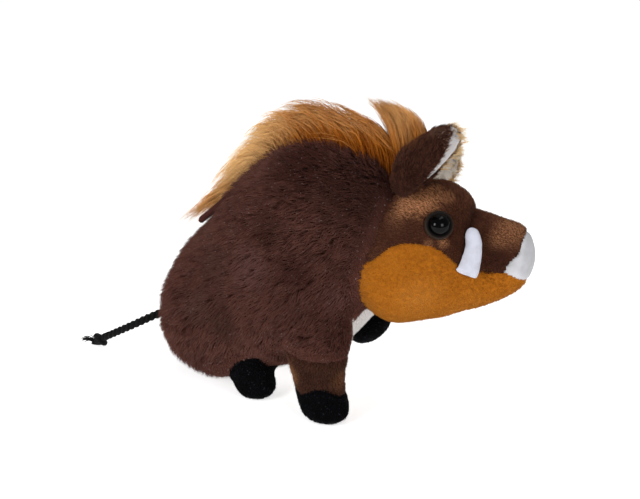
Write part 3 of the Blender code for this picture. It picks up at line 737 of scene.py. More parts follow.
def lie_of_tufts(roots, lengths, flow, rise, curl, clump, gather, wild, rings, draw):
    """The line of each tuft, and its tone. Tufts lean along the flow, and those of one clump lean
    together and close up at the tip. The rise is the angle off the cloth, and the curl is what the
    tip loses of it."""
    count = len(roots["at"])
    hearts = np.sort(draw.choice(count, max(1, int(count * clump)), replace=False))
    tree = tree_of(roots["at"][hearts])
    mine = np.array([tree.find(place)[1] for place in roots["at"]])
    turn = draw.normal(0, wild, len(hearts))[mine] + draw.normal(0, wild * 0.45, count)
    lift = rise + draw.normal(0, wild * 0.45, len(hearts))[mine] + draw.normal(0, wild * 0.3, count)
    clump_tone = draw.random(len(hearts))
    tones = 0.35 * clump_tone[mine] + 0.65 * draw.random(count)
    lengths = lengths * (0.93 + 0.12 * draw.random(len(hearts)))[mine] * (0.80 + 0.35 * draw.random(count))
    out = roots["out"]
    lean = unit(flow - (flow * out).sum(1, keepdims=True) * out)
    lean = np.cos(turn)[:, None] * lean + np.sin(turn)[:, None] * np.cross(out, lean)
    lines = [roots["at"] - out * 0.0004]
    for k in range(1, rings):
        angle = lift - curl * (k - 1) / max(1, rings - 2)
        ahead = np.cos(angle)[:, None] * lean + np.sin(angle)[:, None] * out
        lines.append(lines[-1] + ahead * (lengths / (rings - 1))[:, None])
    lines = np.stack(lines, 1)
    tip = lines[hearts[mine], -1]
    for k in range(1, rings):
        pull = gather * (k / (rings - 1)) ** 1.5 * (0.5 + 0.5 * draw.random(count))[:, None]
        heart = lines[hearts[mine], k]
        lines[:, k] = lines[:, k] * (1 - pull) + (heart + (tip - heart) * 0.1) * pull
    return lines, tones


def lay_pile(name, roots, lengths, flow, thick, finish, draw, rise=0.7, curl=0.5, clump=0.12,
             gather=0.1, wild=0.35, rings=2, pieces=1):
    """Covers the roots with tufts, as one piece or as strips from the rear of the toy forwards."""
    lines, tones = lie_of_tufts(roots, lengths, flow, rise, curl, clump, gather, wild, rings, draw)
    lines[:, 1:, 2] = lines[:, 1:, 2].clip(0.0003)
    taper = np.linspace(1.0, 0.55, rings)
    radii = thick / 2 * (0.8 + 0.4 * draw.random(len(lines)))[:, None] * taper[None]
    order = np.argsort(roots["at"][:, 0], kind="stable")
    for k, part in enumerate(np.array_split(order, pieces)):
        coat = tuft_mesh(name if pieces == 1 else f"{name}_{k + 1}", lines[part], radii[part],
                         roots["out"][part], roots["flat"][part], tones[part], finish)
        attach(coat, "root")


# The long pile's patches are painted shade and painted highlight, and greyer tone on the rump; its tiny bright
# dots are painted glints.
brown_long = pile_finish("long_brown_pile", (0.066, 0.0235, 0.0170), (0.080, 0.0285, 0.0205),
                         (0.155, 0.0610, 0.0450), mottle=0.030, clump=0.005, sheen_tint=(0.9, 0.75, 0.7),
                         patches=BODY_SHADE_HIGHLIGHT_AND_TONE, painted_glints=(0.0007, (0.34, 0.27, 0.26), 0.030))
draw = np.random.default_rng(7)
roots = pick_roots(grounds["body_cover"], BODY_SPACING, draw)
rear = np.clip((REAR_FROM - roots["at"][:, 0]) / FLOW_TURNS_OVER, 0, 1)[:, None]
low = np.clip((LOW_FROM - roots["at"][:, 2]) / FLOW_TURNS_OVER, 0, 1)[:, None]
flow = (FLOW_BACK * (1 - rear) + FLOW_REAR * rear) * (1 - low) + FLOW_LOW * low
full = np.clip((roots["depth"] - SHORN) / FULL_OVER, 0, 1)
lay_pile("body_pile", roots, roots["depth"] * (SHORN_FIBRE + FULL_FIBRE * full), flow, BODY_HAIR, brown_long,
         draw, rise=1.25, curl=0.70, clump=0.034, gather=0.06, wild=0.26, rings=3, pieces=7)
panels["body_cover"].data.materials.append(brown_long)

# ----------------------------------------------------------
# Face: short brown pile over the skull and muzzle. The nap is brushed back from the nose. Painted
# highlight lightens it at the temple, under the eye and along the top of the muzzle, and painted
# shade darkens it round the eye, at the brow and low on the muzzle.
FACE_SPACING, FACE_HAIR, EYE_HOLE = 0.00060, 0.00042, 0.0086
FACE_BRUSHED = (-1.0, 0.0, -0.25)
# Painted light on the face: the colour of the painted highlight and of the painted shade, and for each patch
# its place, its reach, the colour and its strength
PAINTED_HIGHLIGHT, PAINTED_SHADE = (0.88, 0.41, 0.19), (0.046, 0.015, 0.010)
FACE_SHADE_AND_HIGHLIGHT = (
    ((0.0767, -0.0261, 0.1395), 0.0135, PAINTED_SHADE, 0.60),
    ((0.0850, -0.0200, 0.1310), 0.0090, PAINTED_SHADE, 0.50),
    ((0.0595, -0.0130, 0.1502), 0.0190, PAINTED_HIGHLIGHT, 1.0),
    ((0.0520, -0.0210, 0.1450), 0.0100, PAINTED_HIGHLIGHT, 0.60),
    ((0.0640, -0.0020, 0.1545), 0.0090, PAINTED_HIGHLIGHT, 0.50),
    ((0.0500, -0.0300, 0.1430), 0.012, PAINTED_HIGHLIGHT, 0.25),
    ((0.0733, -0.0033, 0.1516), 0.009, PAINTED_HIGHLIGHT, 0.45),
    ((0.0801, -0.0226, 0.1275), 0.0055, PAINTED_HIGHLIGHT, 0.65),
    ((0.0720, -0.0270, 0.1270), 0.005, PAINTED_HIGHLIGHT, 0.35),
    ((0.1120, 0.0100, 0.1305), 0.017, PAINTED_HIGHLIGHT, 0.46),
    ((0.1050, 0.0005, 0.1260), 0.010, PAINTED_HIGHLIGHT, 0.32),
    ((0.0885, 0.0060, 0.1390), 0.009, PAINTED_SHADE, 0.90),
    ((0.0895, -0.0027, 0.1345), 0.008, PAINTED_SHADE, 0.85),
    ((0.1080, -0.0015, 0.1135), 0.011, PAINTED_SHADE, 0.95),
)
brown_short = pile_finish("short_brown_pile", (0.040, 0.013, 0.007), (0.080, 0.027, 0.0145),
                          (0.165, 0.064, 0.035), mottle=0.014, sheen_tint=(1.0, 0.8, 0.65),
                          patches=FACE_SHADE_AND_HIGHLIGHT)
for seed, name in ((11, "face"), (13, "muzzle")):
    draw = np.random.default_rng(seed)
    roots = pick_roots(grounds[name + "_cover"], FACE_SPACING, draw)
    for side_name in SIDES:
        corner, far_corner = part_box(f"eye_rim_{side_name}")
        eye = np.array((corner + far_corner) / 2)
        roots = chosen(roots, np.linalg.norm(roots["at"] - eye, axis=1) > EYE_HOLE)
    flow = np.tile(FACE_BRUSHED, (len(roots["at"]), 1))
    lay_pile(name + "_pile", roots, np.clip(roots["depth"] * 1.5, 0.0015, 0.0030), flow, FACE_HAIR,
             brown_short, draw)
    panels[name + "_cover"].data.materials.append(brown_short)

# ----------------------------------------------------------
# Chin: one golden orange plush panel from the throat to the lip, stuffed full. Its short nap is
# brushed back, lighter on the cheek and darker towards the lip.
CHIN_SPACING, CHIN_HAIR, CHIN_BRUSHED = 0.00064, 0.00050, (-1.0, 0.0, -0.35)
orange = pile_finish("orange_plush", (0.375, 0.120, 0.0074), (0.355, 0.113, 0.0072), (0.520, 0.200, 0.024),
                     mottle=0.016, clump=0.0025, sheen_tint=(1.0, 0.85, 0.6),
                     patches=(((0.0700, -0.0340, 0.0960), 0.020, (0.66, 0.30, 0.060), 0.50),
                              ((0.1050, 0.0050, 0.1000), 0.020, (0.30, 0.090, 0.006), 0.50)))
draw = np.random.default_rng(12)
roots = pick_roots(grounds["chin_cover"], CHIN_SPACING, draw)
flow = np.tile(CHIN_BRUSHED, (len(roots["at"]), 1))
lay_pile("chin_pile", roots, np.clip(roots["depth"] * 1.1, 0.0012, 0.0021), flow, CHIN_HAIR, orange,
         draw, rise=0.75, wild=0.3)
panels["chin_cover"].data.materials.append(orange)

# ----------------------------------------------------------
# Leg cuffs, inner leg panels, belly and paws: short plush, all brushed downwards. The paws are
# black, the hidden sides white, and the right fore cuff has a golden edge above its paw.
PLUSH_SPACING, BELLY_SPACING, PLUSH_HAIR = 0.00064, 0.00078, 0.0006
FACES_UP_OR_DOWN = 0.97
GOLDEN_EDGE = (0.30, 0.13, 0.055)
# The black plush's tiny bright dots are painted glints.
black = pile_finish("black_plush", (0.0010, 0.0010, 0.0012), (0.0018, 0.0018, 0.0022), (0.006, 0.0066, 0.008),
                    mottle=0.012, clump=0.0015, rough=(0.5, 0.75), sheen=0.0, shine=0.02,
                    painted_glints=(0.0005, (0.06, 0.065, 0.085), 0.035))
white = pile_finish("white_plush", (0.62, 0.58, 0.56), (0.84, 0.80, 0.78), (0.92, 0.90, 0.88), mottle=0.015)
cuff_brown = pile_finish("cuff_brown_pile", (0.026, 0.009, 0.005), (0.046, 0.016, 0.009),
                         (0.100, 0.038, 0.021), mottle=0.012,
                         patches=(((-0.0100, -0.0495, 0.032), 0.011, GOLDEN_EDGE, 0.85),
                                  ((0.0225, -0.0440, 0.032), 0.010, GOLDEN_EDGE, 0.45)))
SHORT_PLUSH = (
    *[(f"cuff_cover_{side}", f"cuff_pile_{side}", cuff_brown, "short_pile") for side in SIDES],
    *[(f"inner_cover_{side}", f"inner_pile_{side}", white, "white_plush") for side in SIDES],
    ("belly_cover", "belly_pile", white, "white_plush"),
    *[(f"paw_{end}_{side}", f"paw_{end}_{side}_pile", black, "black_plush")
      for end in ("fore", "hind") for side in SIDES],
)
for seed, (name, pile_name, finish, slot) in enumerate(SHORT_PLUSH, 21):
    draw = np.random.default_rng(seed)
    roots = pick_roots(grounds[name], BELLY_SPACING if name == "belly_cover" else PLUSH_SPACING, draw)
    flow = np.tile([0.0, 0.0, -1.0], (len(roots["at"]), 1)) + roots["out"] * 0.0001
    flow[np.abs(roots["out"][:, 2]) > FACES_UP_OR_DOWN] = (-1.0, 0.0, 0.0)
    lay_pile(pile_name, roots, np.clip(roots["depth"] * 1.4, 0.0012, 0.0040), flow, PLUSH_HAIR, finish,
             draw, wild=0.3)
    panels[name].data.materials.append(finish)

# ----------------------------------------------------------
# Snout: a cap of smooth, pale grey felt over the end of the muzzle. Only its seam holds it, with no
# stitching on top.


def felt_finish(name, low, high):
    """Pressed felt: matted fibres with no direction, a little darker where its bumps dip, and no shine."""
    fibre = 0.0006
    finish, where = new_finish(name)
    matted = step(finish, "TexNoise",
                  {"Vector": where, "Scale": 1.0 / fibre, "Detail": 6.0, "Distortion": 2.0}, "Fac")
    cloudy = step(finish, "TexNoise", {"Vector": where, "Scale": 1.0 / (fibre * 12)}, "Fac")
    both = step(finish, "Math", {0: matted, 1: 0.6, 2: cloudy}, 0, operation="MULTIPLY_ADD")
    return surfaced(finish, two_tones(finish, both, low, high, 0.55, 0.95),
                    matt_from(finish, matted, (0.8, 0.98)), raised_by(finish, matted, 0.5, 0.0002),
                    {"Sheen Weight": 0.08, "Sheen Roughness": 0.5, "Specular IOR Level": 0.15})


panels["snout_cover"].data.materials.append(
    felt_finish("snout_felt", (0.42, 0.42, 0.43), (0.51, 0.51, 0.54)))

# ----------------------------------------------------------
# Tusks: two crescents of white felt, cut double, stuffed thin and sewn on the cheeks by the foot.
# The foot of each is drawn back a little.
# The head's own place: where the skull stands, and how it is tilted and turned
HEAD = (Matrix.Translation((0.040, 0.0, 0.115))
        @ Euler((math.radians(-8), 0.0, math.radians(14))).to_matrix().to_4x4())
TUSK_SWELL, TUSK_VOXEL, TUSK_ROUNDING = 0.0006, 0.0006, 8
# The foot's top and front in the head's own place, over what height and length it begins, and how
# far it is drawn back
FOOT_TOP, FOOT_FRONT, FOOT_HIGH, FOOT_LONG, FOOT_DRAWN = -0.0020, 0.0480, 0.0085, 0.0080, 0.0036
white_felt = felt_finish("tusk_felt", (0.42, 0.425, 0.47), (0.56, 0.57, 0.66))


def sewn_form(node, name, swell, voxel, rounds):
    """A part's solid as one even skin, grown outwards by the swell, with its edges rounded off."""
    piece = remeshed(welded_copy(node, name, swell), voxel)
    put(piece, blended(places_of(piece), take(piece.data.edges, "vertices", 2, np.int32), rounds))
    bpy.ops.object.shade_smooth()
    return piece


def moved(places, matrix):
    """The places, turned and shifted as the matrix says."""
    return places @ np.array(matrix.to_3x3()).T + np.array(matrix.translation)


for side_name in SIDES:
    tusk = sewn_form(f"tusk_{side_name}", f"felt_tusk_{side_name}", TUSK_SWELL, TUSK_VOXEL, TUSK_ROUNDING)
    places = moved(places_of(tusk), HEAD.inverted())
    below = np.clip((FOOT_TOP - places[:, 2]) / FOOT_HIGH, 0, 1)
    behind = np.clip((FOOT_FRONT - places[:, 0]) / FOOT_LONG, 0, 1)
    places[:, 0] -= FOOT_DRAWN * (below * behind)
    put(tusk, moved(places, HEAD))
    tusk.data.materials.append(white_felt)
    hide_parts(f"tusk_{side_name}")
    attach(tusk, "root")

# ----------------------------------------------------------
# Eyes: a glossy black plastic dome on a dark clear washer, locked through the cheek from inside.
# Heights run outwards along the eye's own axis.
EYE_BALL, EYE_RISE, EYE_FOOT, EYE_SKIRT = 0.0064, 0.80, 0.0012, 0.0012
RIM_WIDE, RIM_FOOT, RIM_TOP, RIM_ROUND = 0.0088, -0.0030, 0.0010, 0.0004
# The washer's face, from its edge inwards: how far in each step is, and how far it goes up
RIM_STEPS = ((0.0009, 0.0005), (0.0012, -0.0003))
SHARP_FROM = math.radians(50)


def plastic_finish(name, colour, edge, rough, shine):
    """Moulded plastic with hairline scuffs. Its edge note tints it towards the rim."""
    finish, where = new_finish(name)
    scuff = step(finish, "TexNoise", {"Vector": where, "Scale": 700.0, "Detail": 3.0, "Distortion": 3.0}, "Fac")
    rimward = step(finish, "Attribute", {}, "Fac", attribute_name="edge")
    tint = step(finish, "Mix", {"Factor": rimward, "A": colour, "B": edge}, "Result", data_type="RGBA")
    return surfaced(finish, tint, matt_from(finish, scuff, rough), raised_by(finish, scuff, 0.05, 0.0001),
                    {"Specular IOR Level": shine})


eye_plastic = plastic_finish("eye_plastic_black", (0.0010, 0.0010, 0.0013), (0.003, 0.003, 0.003),
                             (0.05, 0.11), 0.11)
rim_plastic = plastic_finish("washer_plastic", (0.002, 0.0018, 0.0018), (0.034, 0.022, 0.016),
                             (0.35, 0.55), 0.06)


def stand_of(node, foot):
    """Where a round part stands: its foot's middle, with Z along its axis, away from the head."""
    places = take(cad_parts[node].data.vertices, "co", 3).astype(float)
    middle = (places.min(0) + places.max(0)) / 2
    axis = Vector(np.linalg.svd(places - places.mean(0), full_matrices=False)[2][-1])
    head_low, head_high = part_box("head")
    if axis.dot(Vector(middle) - (head_low + head_high) / 2) < 0:
        axis = -axis
    along = (places - places.mean(0)) @ np.array(axis)
    place = Vector(places.mean(0)) + axis * (float(along.min()) - foot)
    return Matrix.Translation(place) @ axis.to_track_quat("Z", "Y").to_matrix().to_4x4()


def settled(piece, matrix, finish):
    """Puts a made piece in its place for good, with its sharp edges kept, and gives it its finish."""
    piece.matrix_world = matrix
    bpy.ops.object.transform_apply(location=True, rotation=True, scale=True)
    bpy.ops.object.shade_smooth_by_angle(angle=SHARP_FROM)
    piece.data.materials.append(finish)


for side_name in SIDES:
    stand = stand_of(f"eye_rim_{side_name}", RIM_FOOT)
    bpy.ops.mesh.primitive_uv_sphere_add(segments=48, ring_count=32, radius=EYE_BALL)
    dome = just_made(f"eye_dome_{side_name}")
    with opened(dome):
        bpy.ops.mesh.bisect(plane_co=(0, 0, 0), plane_no=(0, 0, 1), clear_inner=True)
        bpy.ops.mesh.select_all(action="SELECT")
        bpy.ops.transform.resize(value=(1.0, 1.0, EYE_RISE))
        bpy.ops.mesh.select_all(action="DESELECT")
        bpy.ops.mesh.select_non_manifold()
        bpy.ops.mesh.extrude_region_move(TRANSFORM_OT_translate={"value": (0, 0, -EYE_SKIRT)})
        bpy.ops.mesh.edge_face_add()
        bpy.ops.mesh.select_all(action="SELECT")
        bpy.ops.mesh.normals_make_consistent(inside=False)
    settled(dome, stand @ Matrix.Translation((0, 0, EYE_FOOT)), eye_plastic)

    bpy.ops.mesh.primitive_cylinder_add(vertices=64, radius=RIM_WIDE, depth=RIM_TOP - RIM_FOOT,
                                        location=(0, 0, (RIM_TOP + RIM_FOOT) / 2))
    rim = just_made(f"eye_washer_{side_name}")
    bpy.ops.object.transform_apply(location=True, rotation=True, scale=True)
    with opened(rim, "DESELECT"):
        washer = bmesh.from_edit_mesh(rim.data)
        max(washer.faces, key=lambda face: face.normal.z).select_set(True)
        for inwards, up in RIM_STEPS:
            bpy.ops.mesh.inset(thickness=inwards)
            bpy.ops.transform.translate(value=(0, 0, up))
    soft = rim.modifiers.new("soft_edge", "BEVEL")
    soft.width, soft.segments = RIM_ROUND, 3
    bpy.ops.object.modifier_apply(modifier="soft_edge")
    wide = np.linalg.norm(take(rim.data.vertices, "co", 3)[:, :2], axis=1)
    note(rim.data, "edge", np.clip((wide - EYE_BALL) / (RIM_WIDE - EYE_BALL), 0, 1) ** 2)
    settled(rim, stand, rim_plastic)

    for piece, node, slot in ((dome, "eye", "eye_plastic"), (rim, "eye_rim", "eye_washer")):
        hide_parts(f"{node}_{side_name}")
        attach(piece, "root")

# ----------------------------------------------------------
# Ears: leaves of brown plush folded round a lining of white felt and sewn into the crown. Longer
# pale fibres fringe the edge where the two fabrics meet.
EAR_VOXEL, EAR_ROUNDING, LINING_SWELL = 0.0008, 5, 0.0002
EAR_FOOT_SWELL, EAR_FOOT_ENDS = 0.0030, 0.50
RIGHT_EAR_SWELL, SWELL_AT, SWELL_LONG, SWELL_WAY = 0.0052, 0.36, 0.26, np.array((-0.95, 0.0, 0.30))
RIGHT_EAR_TWIST, TWISTED_BY, LEFT_EAR_SMALLER = math.radians(7), 0.35, 0.86
EAR_HAIR, EAR_ROOTS_SUNK, EAR_PILE = 0.0006, 0.0003, 0.0042
FRINGE_SPACING, FRINGE_REACH, FRINGE_FROM, FRINGE_RINGS = 0.00050, 0.0016, 0.30, 4
FRINGE_ROOT, FRINGE_TIP = 0.00016, 0.00008
RIGHT_EAR_INWARD = np.array((0.35, 0.94, 0.0))
ear_brown = pile_finish("ear_brown_pile", (0.020, 0.0062, 0.0040), (0.032, 0.0100, 0.0058),
                        (0.100, 0.038, 0.022), mottle=0.012, sheen_tint=(1.0, 0.8, 0.7),
                        patches=(((0.0580, -0.0150, 0.1830), 0.012, (0.130, 0.047, 0.018), 0.90),
                                 ((0.0705, -0.0180, 0.1950), 0.008, (0.150, 0.078, 0.050), 0.70)))
fringe_pale = pile_finish("ear_fringe", (0.55, 0.28, 0.09), (0.72, 0.44, 0.17), (0.98, 0.80, 0.52))
ear_tip = pile_finish("ear_tip_hair", (0.050, 0.018, 0.012), (0.110, 0.045, 0.028), (0.260, 0.130, 0.080),
                      tips=((0.80, 0.66, 0.52), 0.6))
lining_white = pile_finish("ear_lining_plush", (0.55, 0.53, 0.53), (0.72, 0.70, 0.71), (0.86, 0.85, 0.87))
lining_golden = pile_finish("ear_lining_golden", (0.78, 0.73, 0.67), (0.88, 0.83, 0.76), (0.94, 0.90, 0.84),
                            tips=((0.74, 0.52, 0.30), 0.50))
# Each ear: its foot and its tip in the head's own place, its lining, the length of the lining's
# nap, and how much denser than usual its fringe is
EARS = (
    ("right", Vector((0.0060, -0.0205, 0.0380)), Vector((0.0355, -0.0320, 0.0775)), lining_white, 0.0018, 1.0),
    ("left", Vector((0.0040, 0.0180, 0.0330)), Vector((0.0340, 0.0410, 0.0560)), lining_golden, 0.0042, 1.8),
)
for seed, (side_name, foot, tip, lining_finish, nap, denser) in enumerate(EARS):
    draw = np.random.default_rng(50 + seed)
    foot, tip = np.array(HEAD @ foot), np.array(HEAD @ tip)
    ear_line = np.array(Vector(tip) - Vector(foot))
    axis = unit(ear_line)
    skin = sewn_form(f"ear_{side_name}", f"ear_cover_{side_name}", 0.0, EAR_VOXEL, EAR_ROUNDING)
    places = places_of(skin)
    up_ear = ((places - foot) @ ear_line) / (ear_line @ ear_line)
    outward = take(skin.data.vertex_normals, "vector", 3)
    swell = EAR_FOOT_SWELL * np.clip(1 - up_ear / EAR_FOOT_ENDS, 0, 1) ** 1.2
    if side_name == "right":
        backward = (outward @ SWELL_WAY).clip(0) ** 0.7
        swell += RIGHT_EAR_SWELL * np.exp(-((up_ear - SWELL_AT) / SWELL_LONG) ** 2) * backward
    put(skin, places + outward * swell[:, None])
    lining = sewn_form(f"ear_lining_{side_name}", f"ear_felt_{side_name}", LINING_SWELL, EAR_VOXEL,
                       EAR_ROUNDING)
    for piece, node, slot, finish in ((skin, "ear", "short_pile", ear_brown),
                                      (lining, "ear_lining", "white_felt", lining_finish)):
        places = places_of(piece) - foot
        if side_name == "right":
            up_ear = (places @ ear_line) / (ear_line @ ear_line)
            angle = RIGHT_EAR_TWIST * np.clip(up_ear / TWISTED_BY, 0, 1)[:, None]
            on_axis = (places @ axis)[:, None] * axis
            off = places - on_axis
            places = on_axis + off * np.cos(angle) + np.cross(axis, off) * np.sin(angle)
        else:
            places *= LEFT_EAR_SMALLER
        put(piece, places + foot)
        unwrapped(piece)
        piece.data.materials.append(finish)
        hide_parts(f"{node}_{side_name}")
        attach(piece, "root")
    for piece, label, spacing, long, finish, slot in (
            (skin, "ear_pile", 0.00072, EAR_PILE, ear_brown, "short_pile"),
            (lining, "ear_lining_pile", 0.00080, nap, lining_finish, "white_felt")):
        roots = pick_roots(ground_of(piece), spacing, draw)
        roots["at"] -= roots["out"] * EAR_ROOTS_SUNK
        flow = np.tile(ear_line, (len(roots["at"]), 1))
        lay_pile(f"{label}_{side_name}", roots, np.full(len(flow), long), flow, EAR_HAIR, finish, draw,
                 rise=0.5, clump=0.08, gather=0.3)
    lining_tree = tree_of(places_of(lining))
    for label, long, strands, finish in (("ear_fringe", 0.0034, 0.18, ear_tip),
                                         ("ear_wisps", 0.0086, 0.22, fringe_pale)):
        roots = pick_roots(ground_of(skin), FRINGE_SPACING, draw)
        share = ((roots["at"] - foot) @ ear_line) / (ear_line @ ear_line)
        facing = unit(roots["at"] - (foot + share[:, None] * ear_line))
        keep = (distances(roots["at"], lining_tree) < FRINGE_REACH) & (share > FRINGE_FROM)
        keep &= draw.random(len(share)) < strands * denser
        if label == "ear_wisps" and side_name == "right":
            keep &= facing @ RIGHT_EAR_INWARD > 0.1
        roots, facing, share = chosen(roots, keep), facing[keep], share[keep]
        flow = axis * 0.8 + facing * 0.5 + draw.normal(0, 0.15, facing.shape)
        lines, tones = lie_of_tufts(roots, long * (0.75 + 0.35 * share), flow, 0.35, 0.3, 0.10, 0.3, 0.4,
                                    FRINGE_RINGS, draw)
        wide = np.linspace(FRINGE_ROOT, FRINGE_TIP, FRINGE_RINGS)[None]
        fringe = tuft_mesh(f"{label}_{side_name}", lines, wide, roots["out"], roots["flat"], tones, finish)
        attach(fringe, "root")

# ----------------------------------------------------------
# Mane: long golden hair sewn into the back seam from the nape to the loins, brushed up and back
# in loose locks, and a forelock of the same hair that stands between the ears.

# The outline of the crest from the side, as X and Z, and half the width of the seam it grows from
MANE_TOP = (
    (-0.115, 0.1045), (-0.105, 0.112), (-0.0958, 0.1235), (-0.0855, 0.1365), (-0.0770, 0.1490),
    (-0.0690, 0.1640), (-0.0590, 0.1750), (-0.0480, 0.1895), (-0.0400, 0.1960), (-0.0255, 0.1985),
    (-0.0090, 0.2000), (0.0000, 0.1965), (0.0100, 0.1925), (0.0180, 0.1905), (0.0250, 0.1880),
    (0.0297, 0.1833), (0.0325, 0.1800), (0.0370, 0.1770), (0.0430, 0.1745),
)
SEAM_HALF = ((-0.0600, 0.0140), (-0.0300, 0.0115), (0.0080, 0.0095), (0.0165, 0.0078), (0.0250, 0.0058),
             (0.0320, 0.0035))
MANE_FROM, MANE_TO = -0.072, 0.039
LONG_BEHIND, TIPS_LIE_BEHIND, TIPS_TURN_BEHIND, FRONT_FROM, FRONT_LONG = -0.058, -0.062, -0.078, 0.010, 0.020
LOCK_LEAST, LOCK_MOST, LOINS_LONGER = 0.022, 0.042, 0.012
LOCK_WIDE, FRIZZ, SHORTEST_HAIR = 0.0032, 0.0024, 0.55
CREST_BACK, CREST_DOWN = 0.51, 0.43  # how far the crest sinks back and down for each metre off its middle
LOCKS, FORELOCK_LOCKS, HAIRS_PER_LOCK, HAIR_RINGS = 200, 110, 31, 6
HAIR_ROOT, HAIR_TIP = 0.00024, 0.00008
# The forelock: its middle and half its width, then the X and Z of the foot, the bend and the tip of
# its hindmost lock, how far on those of its foremost lock are, and how much they spread
FORELOCK_Y, FORELOCK_HALF = 0.004, 0.008
FORELOCK = (
    ((0.0370, 0.146), (0.0150, 0.0), 1.0),
    ((0.0378, 0.192), (0.0300, 0.006), 1.1),
    ((0.0108, 0.2035), (0.0205, -0.0020), 0.5),
)
FORELOCK_WIDE, FORELOCK_FRIZZ, FORELOCK_SHORTEST, SHORTEST_LOCK = 0.0013, 0.0014, 0.66, 0.60
BLOND = (1.0, 0.64, 0.27)
golden_hair = pile_finish("golden_hair", (0.22, 0.052, 0.005), (0.31, 0.073, 0.005), (0.57, 0.172, 0.012),
                          mottle=0.018, clump=0.0025, rough=(0.45, 0.65), sheen_tint=(1.0, 0.85, 0.6),
                          patches=(((-0.068, 0.0, 0.163), 0.060, BLOND, 0.90),
                                   ((0.0430, 0.0040, 0.2000), 0.015, (0.92, 0.48, 0.16), 0.70)),
                          tips=(BLOND, 0.42))
body_tree = BVHTree.FromPolygons([Vector(p) for p in grounds["body_cover"]["points"]],
                                 [tuple(c) for c in grounds["body_cover"]["corners"]])
top_x, top_z = zip(*MANE_TOP)
mane_draw = np.random.default_rng(77)


def comb_locks(locks, lock_wide, frizz, short):
    """Fills each lock with hairs. A lock is its foot, its bend and its tip; hairs start apart and
    close up towards the tip, and some fall short of it."""
    shares = np.linspace(0, 1, HAIR_RINGS)
    lines = np.empty((len(locks) * HAIRS_PER_LOCK, HAIR_RINGS, 3))
    for k, (foot, bend, tip) in enumerate(locks):
        for j in range(HAIRS_PER_LOCK):
            part = mane_draw.normal(0, 1, 3) * lock_wide
            t = shares * (1.0 if j < 3 else mane_draw.uniform(short, 1.0))
            line = ((1 - t) ** 2)[:, None] * foot + (2 * t * (1 - t))[:, None] * bend + (t ** 2)[:, None] * tip
            sway = mane_draw.normal(0, 1, 3) * frizz
            line = line + part * (1 - 0.42 * t)[:, None] + sway * (t ** 2)[:, None]
            line[:, 1] -= 0.6 * part[1] * (1 - t) ** 2
            line[:, 2] -= (abs(part[2]) + part[2] + 0.0020) * (1 - t) ** 2
            line[1:-1] += mane_draw.normal(0, frizz * 0.12, (HAIR_RINGS - 2, 3))
            lines[k * HAIRS_PER_LOCK + j] = line
    return lines


def hair_of(name, node, lines, locks):
    """The hairs of so many locks as one piece. Those of one lock lie side by side on the flat map, and
    share nearly half of their tone."""
    flat = np.repeat(mane_draw.random((locks, 2)), HAIRS_PER_LOCK, 0) * 0.9
    flat = flat + mane_draw.random((len(lines), 2)) * 0.08
    tones = np.repeat(mane_draw.random(locks), HAIRS_PER_LOCK) * 0.45 + mane_draw.random(len(lines)) * 0.55
    wide = np.linspace(HAIR_ROOT, HAIR_TIP, HAIR_RINGS)[None]
    hair = tuft_mesh(name, lines, wide, np.tile([0.0, 1.0, 0.0], (len(lines), 1)), flat, tones, golden_hair)
    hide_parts(node)
    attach(hair, "root")


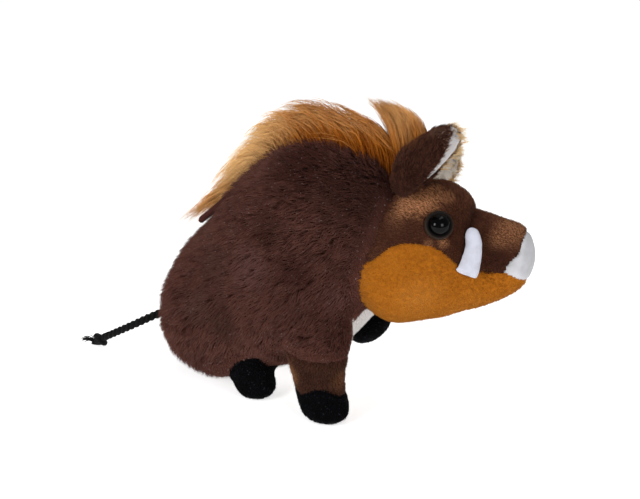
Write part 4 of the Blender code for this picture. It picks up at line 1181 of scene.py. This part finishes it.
locks = []
for k in range(LOCKS):
    x = MANE_FROM + (MANE_TO - MANE_FROM) * ((k + mane_draw.random()) / LOCKS) ** 1.10
    half = float(np.interp(x, *zip(*SEAM_HALF))) * min(1.0, (x - MANE_FROM) / 0.014 + 0.45)
    y = mane_draw.uniform(-1, 1) * half
    foot = np.array(body_tree.ray_cast(Vector((x, y, 0.25)), Vector((0, 0, -1)))[0]) - np.array((0, 0, 0.001))
    long = x < LONG_BEHIND
    reach = mane_draw.uniform(LOCK_LEAST + LOINS_LONGER * long, LOCK_MOST + 0.003 * long)
    reach += LOINS_LONGER * mane_draw.random() * long
    front = min(1.0, max(0.0, (x - FRONT_FROM) / FRONT_LONG))
    reach *= 1 - 0.35 * front * mane_draw.random()
    tip_x = x - reach
    ceiling = float(np.interp(tip_x + CREST_BACK * abs(y), top_x, top_z)) - 0.001 - CREST_DOWN * abs(y)
    level = mane_draw.uniform(0.35 if y < -0.003 else 0.0, 1.0) ** 0.6
    tip_z = foot[2] + (ceiling - foot[2]) * level
    if tip_x < TIPS_LIE_BEHIND:
        tip_z = ceiling + mane_draw.uniform(-0.005, 0.0005)
    tip = np.array((tip_x, y * 1.10 + mane_draw.normal(0, 0.0012), tip_z))
    if tip_x < TIPS_TURN_BEHIND:
        tip[1] = 1.10 * y - 0.0030
    over = float(np.interp(x - reach * 0.25, top_x, top_z)) - 0.001
    rise_to = foot[2] + (over - foot[2]) * (0.25 + (0.95 + 0.55 * front) * level)
    bend = np.array((x - reach * 0.12 + 0.004 * front, y * 1.25, rise_to))
    locks.append((foot, bend, tip))
lines = comb_locks(locks, LOCK_WIDE, FRIZZ, SHORTEST_HAIR)
off_middle = np.abs(lines[:, :, 1])
above = lines[:, :, 2] - np.interp(lines[:, :, 0] + CREST_BACK * off_middle, top_x, top_z)
above = above + CREST_DOWN * off_middle
lines[:, :, 2] -= mane_draw.uniform(0.45, 0.95, len(lines))[:, None] * above.clip(0)
hair_of("mane_hair_back", "mane_back", lines, LOCKS)

locks = []
for k in range(FORELOCK_LOCKS):
    ahead = mane_draw.random()
    y = mane_draw.uniform(-FORELOCK_HALF, FORELOCK_HALF)
    reach = 1.0 if k < FORELOCK_LOCKS // 5 else mane_draw.uniform(SHORTEST_LOCK, 1.0)
    foot, bend, tip = (np.array((x + on_x * ahead, FORELOCK_Y + y * spread, z + on_z * ahead))
                       for (x, z), (on_x, on_z), spread in FORELOCK)
    tip = tip + mane_draw.normal(0, 0.0012, 3)
    tip = foot + (bend - foot) * 2 * reach * (1 - reach) + (tip - foot) * reach ** 2
    locks.append((foot, foot + (bend - foot) * reach, tip))
lines = comb_locks(locks, FORELOCK_WIDE, FORELOCK_FRIZZ, FORELOCK_SHORTEST)
along = np.linspace(0, 1, HAIR_RINGS)[None] * (lines[:, :, 1] - FORELOCK_Y)
lines[:, :, 0] -= CREST_BACK * along
lines[:, :, 2] -= CREST_DOWN * along
hair_of("mane_hair_forelock", "mane_forelock", lines, FORELOCK_LOCKS)
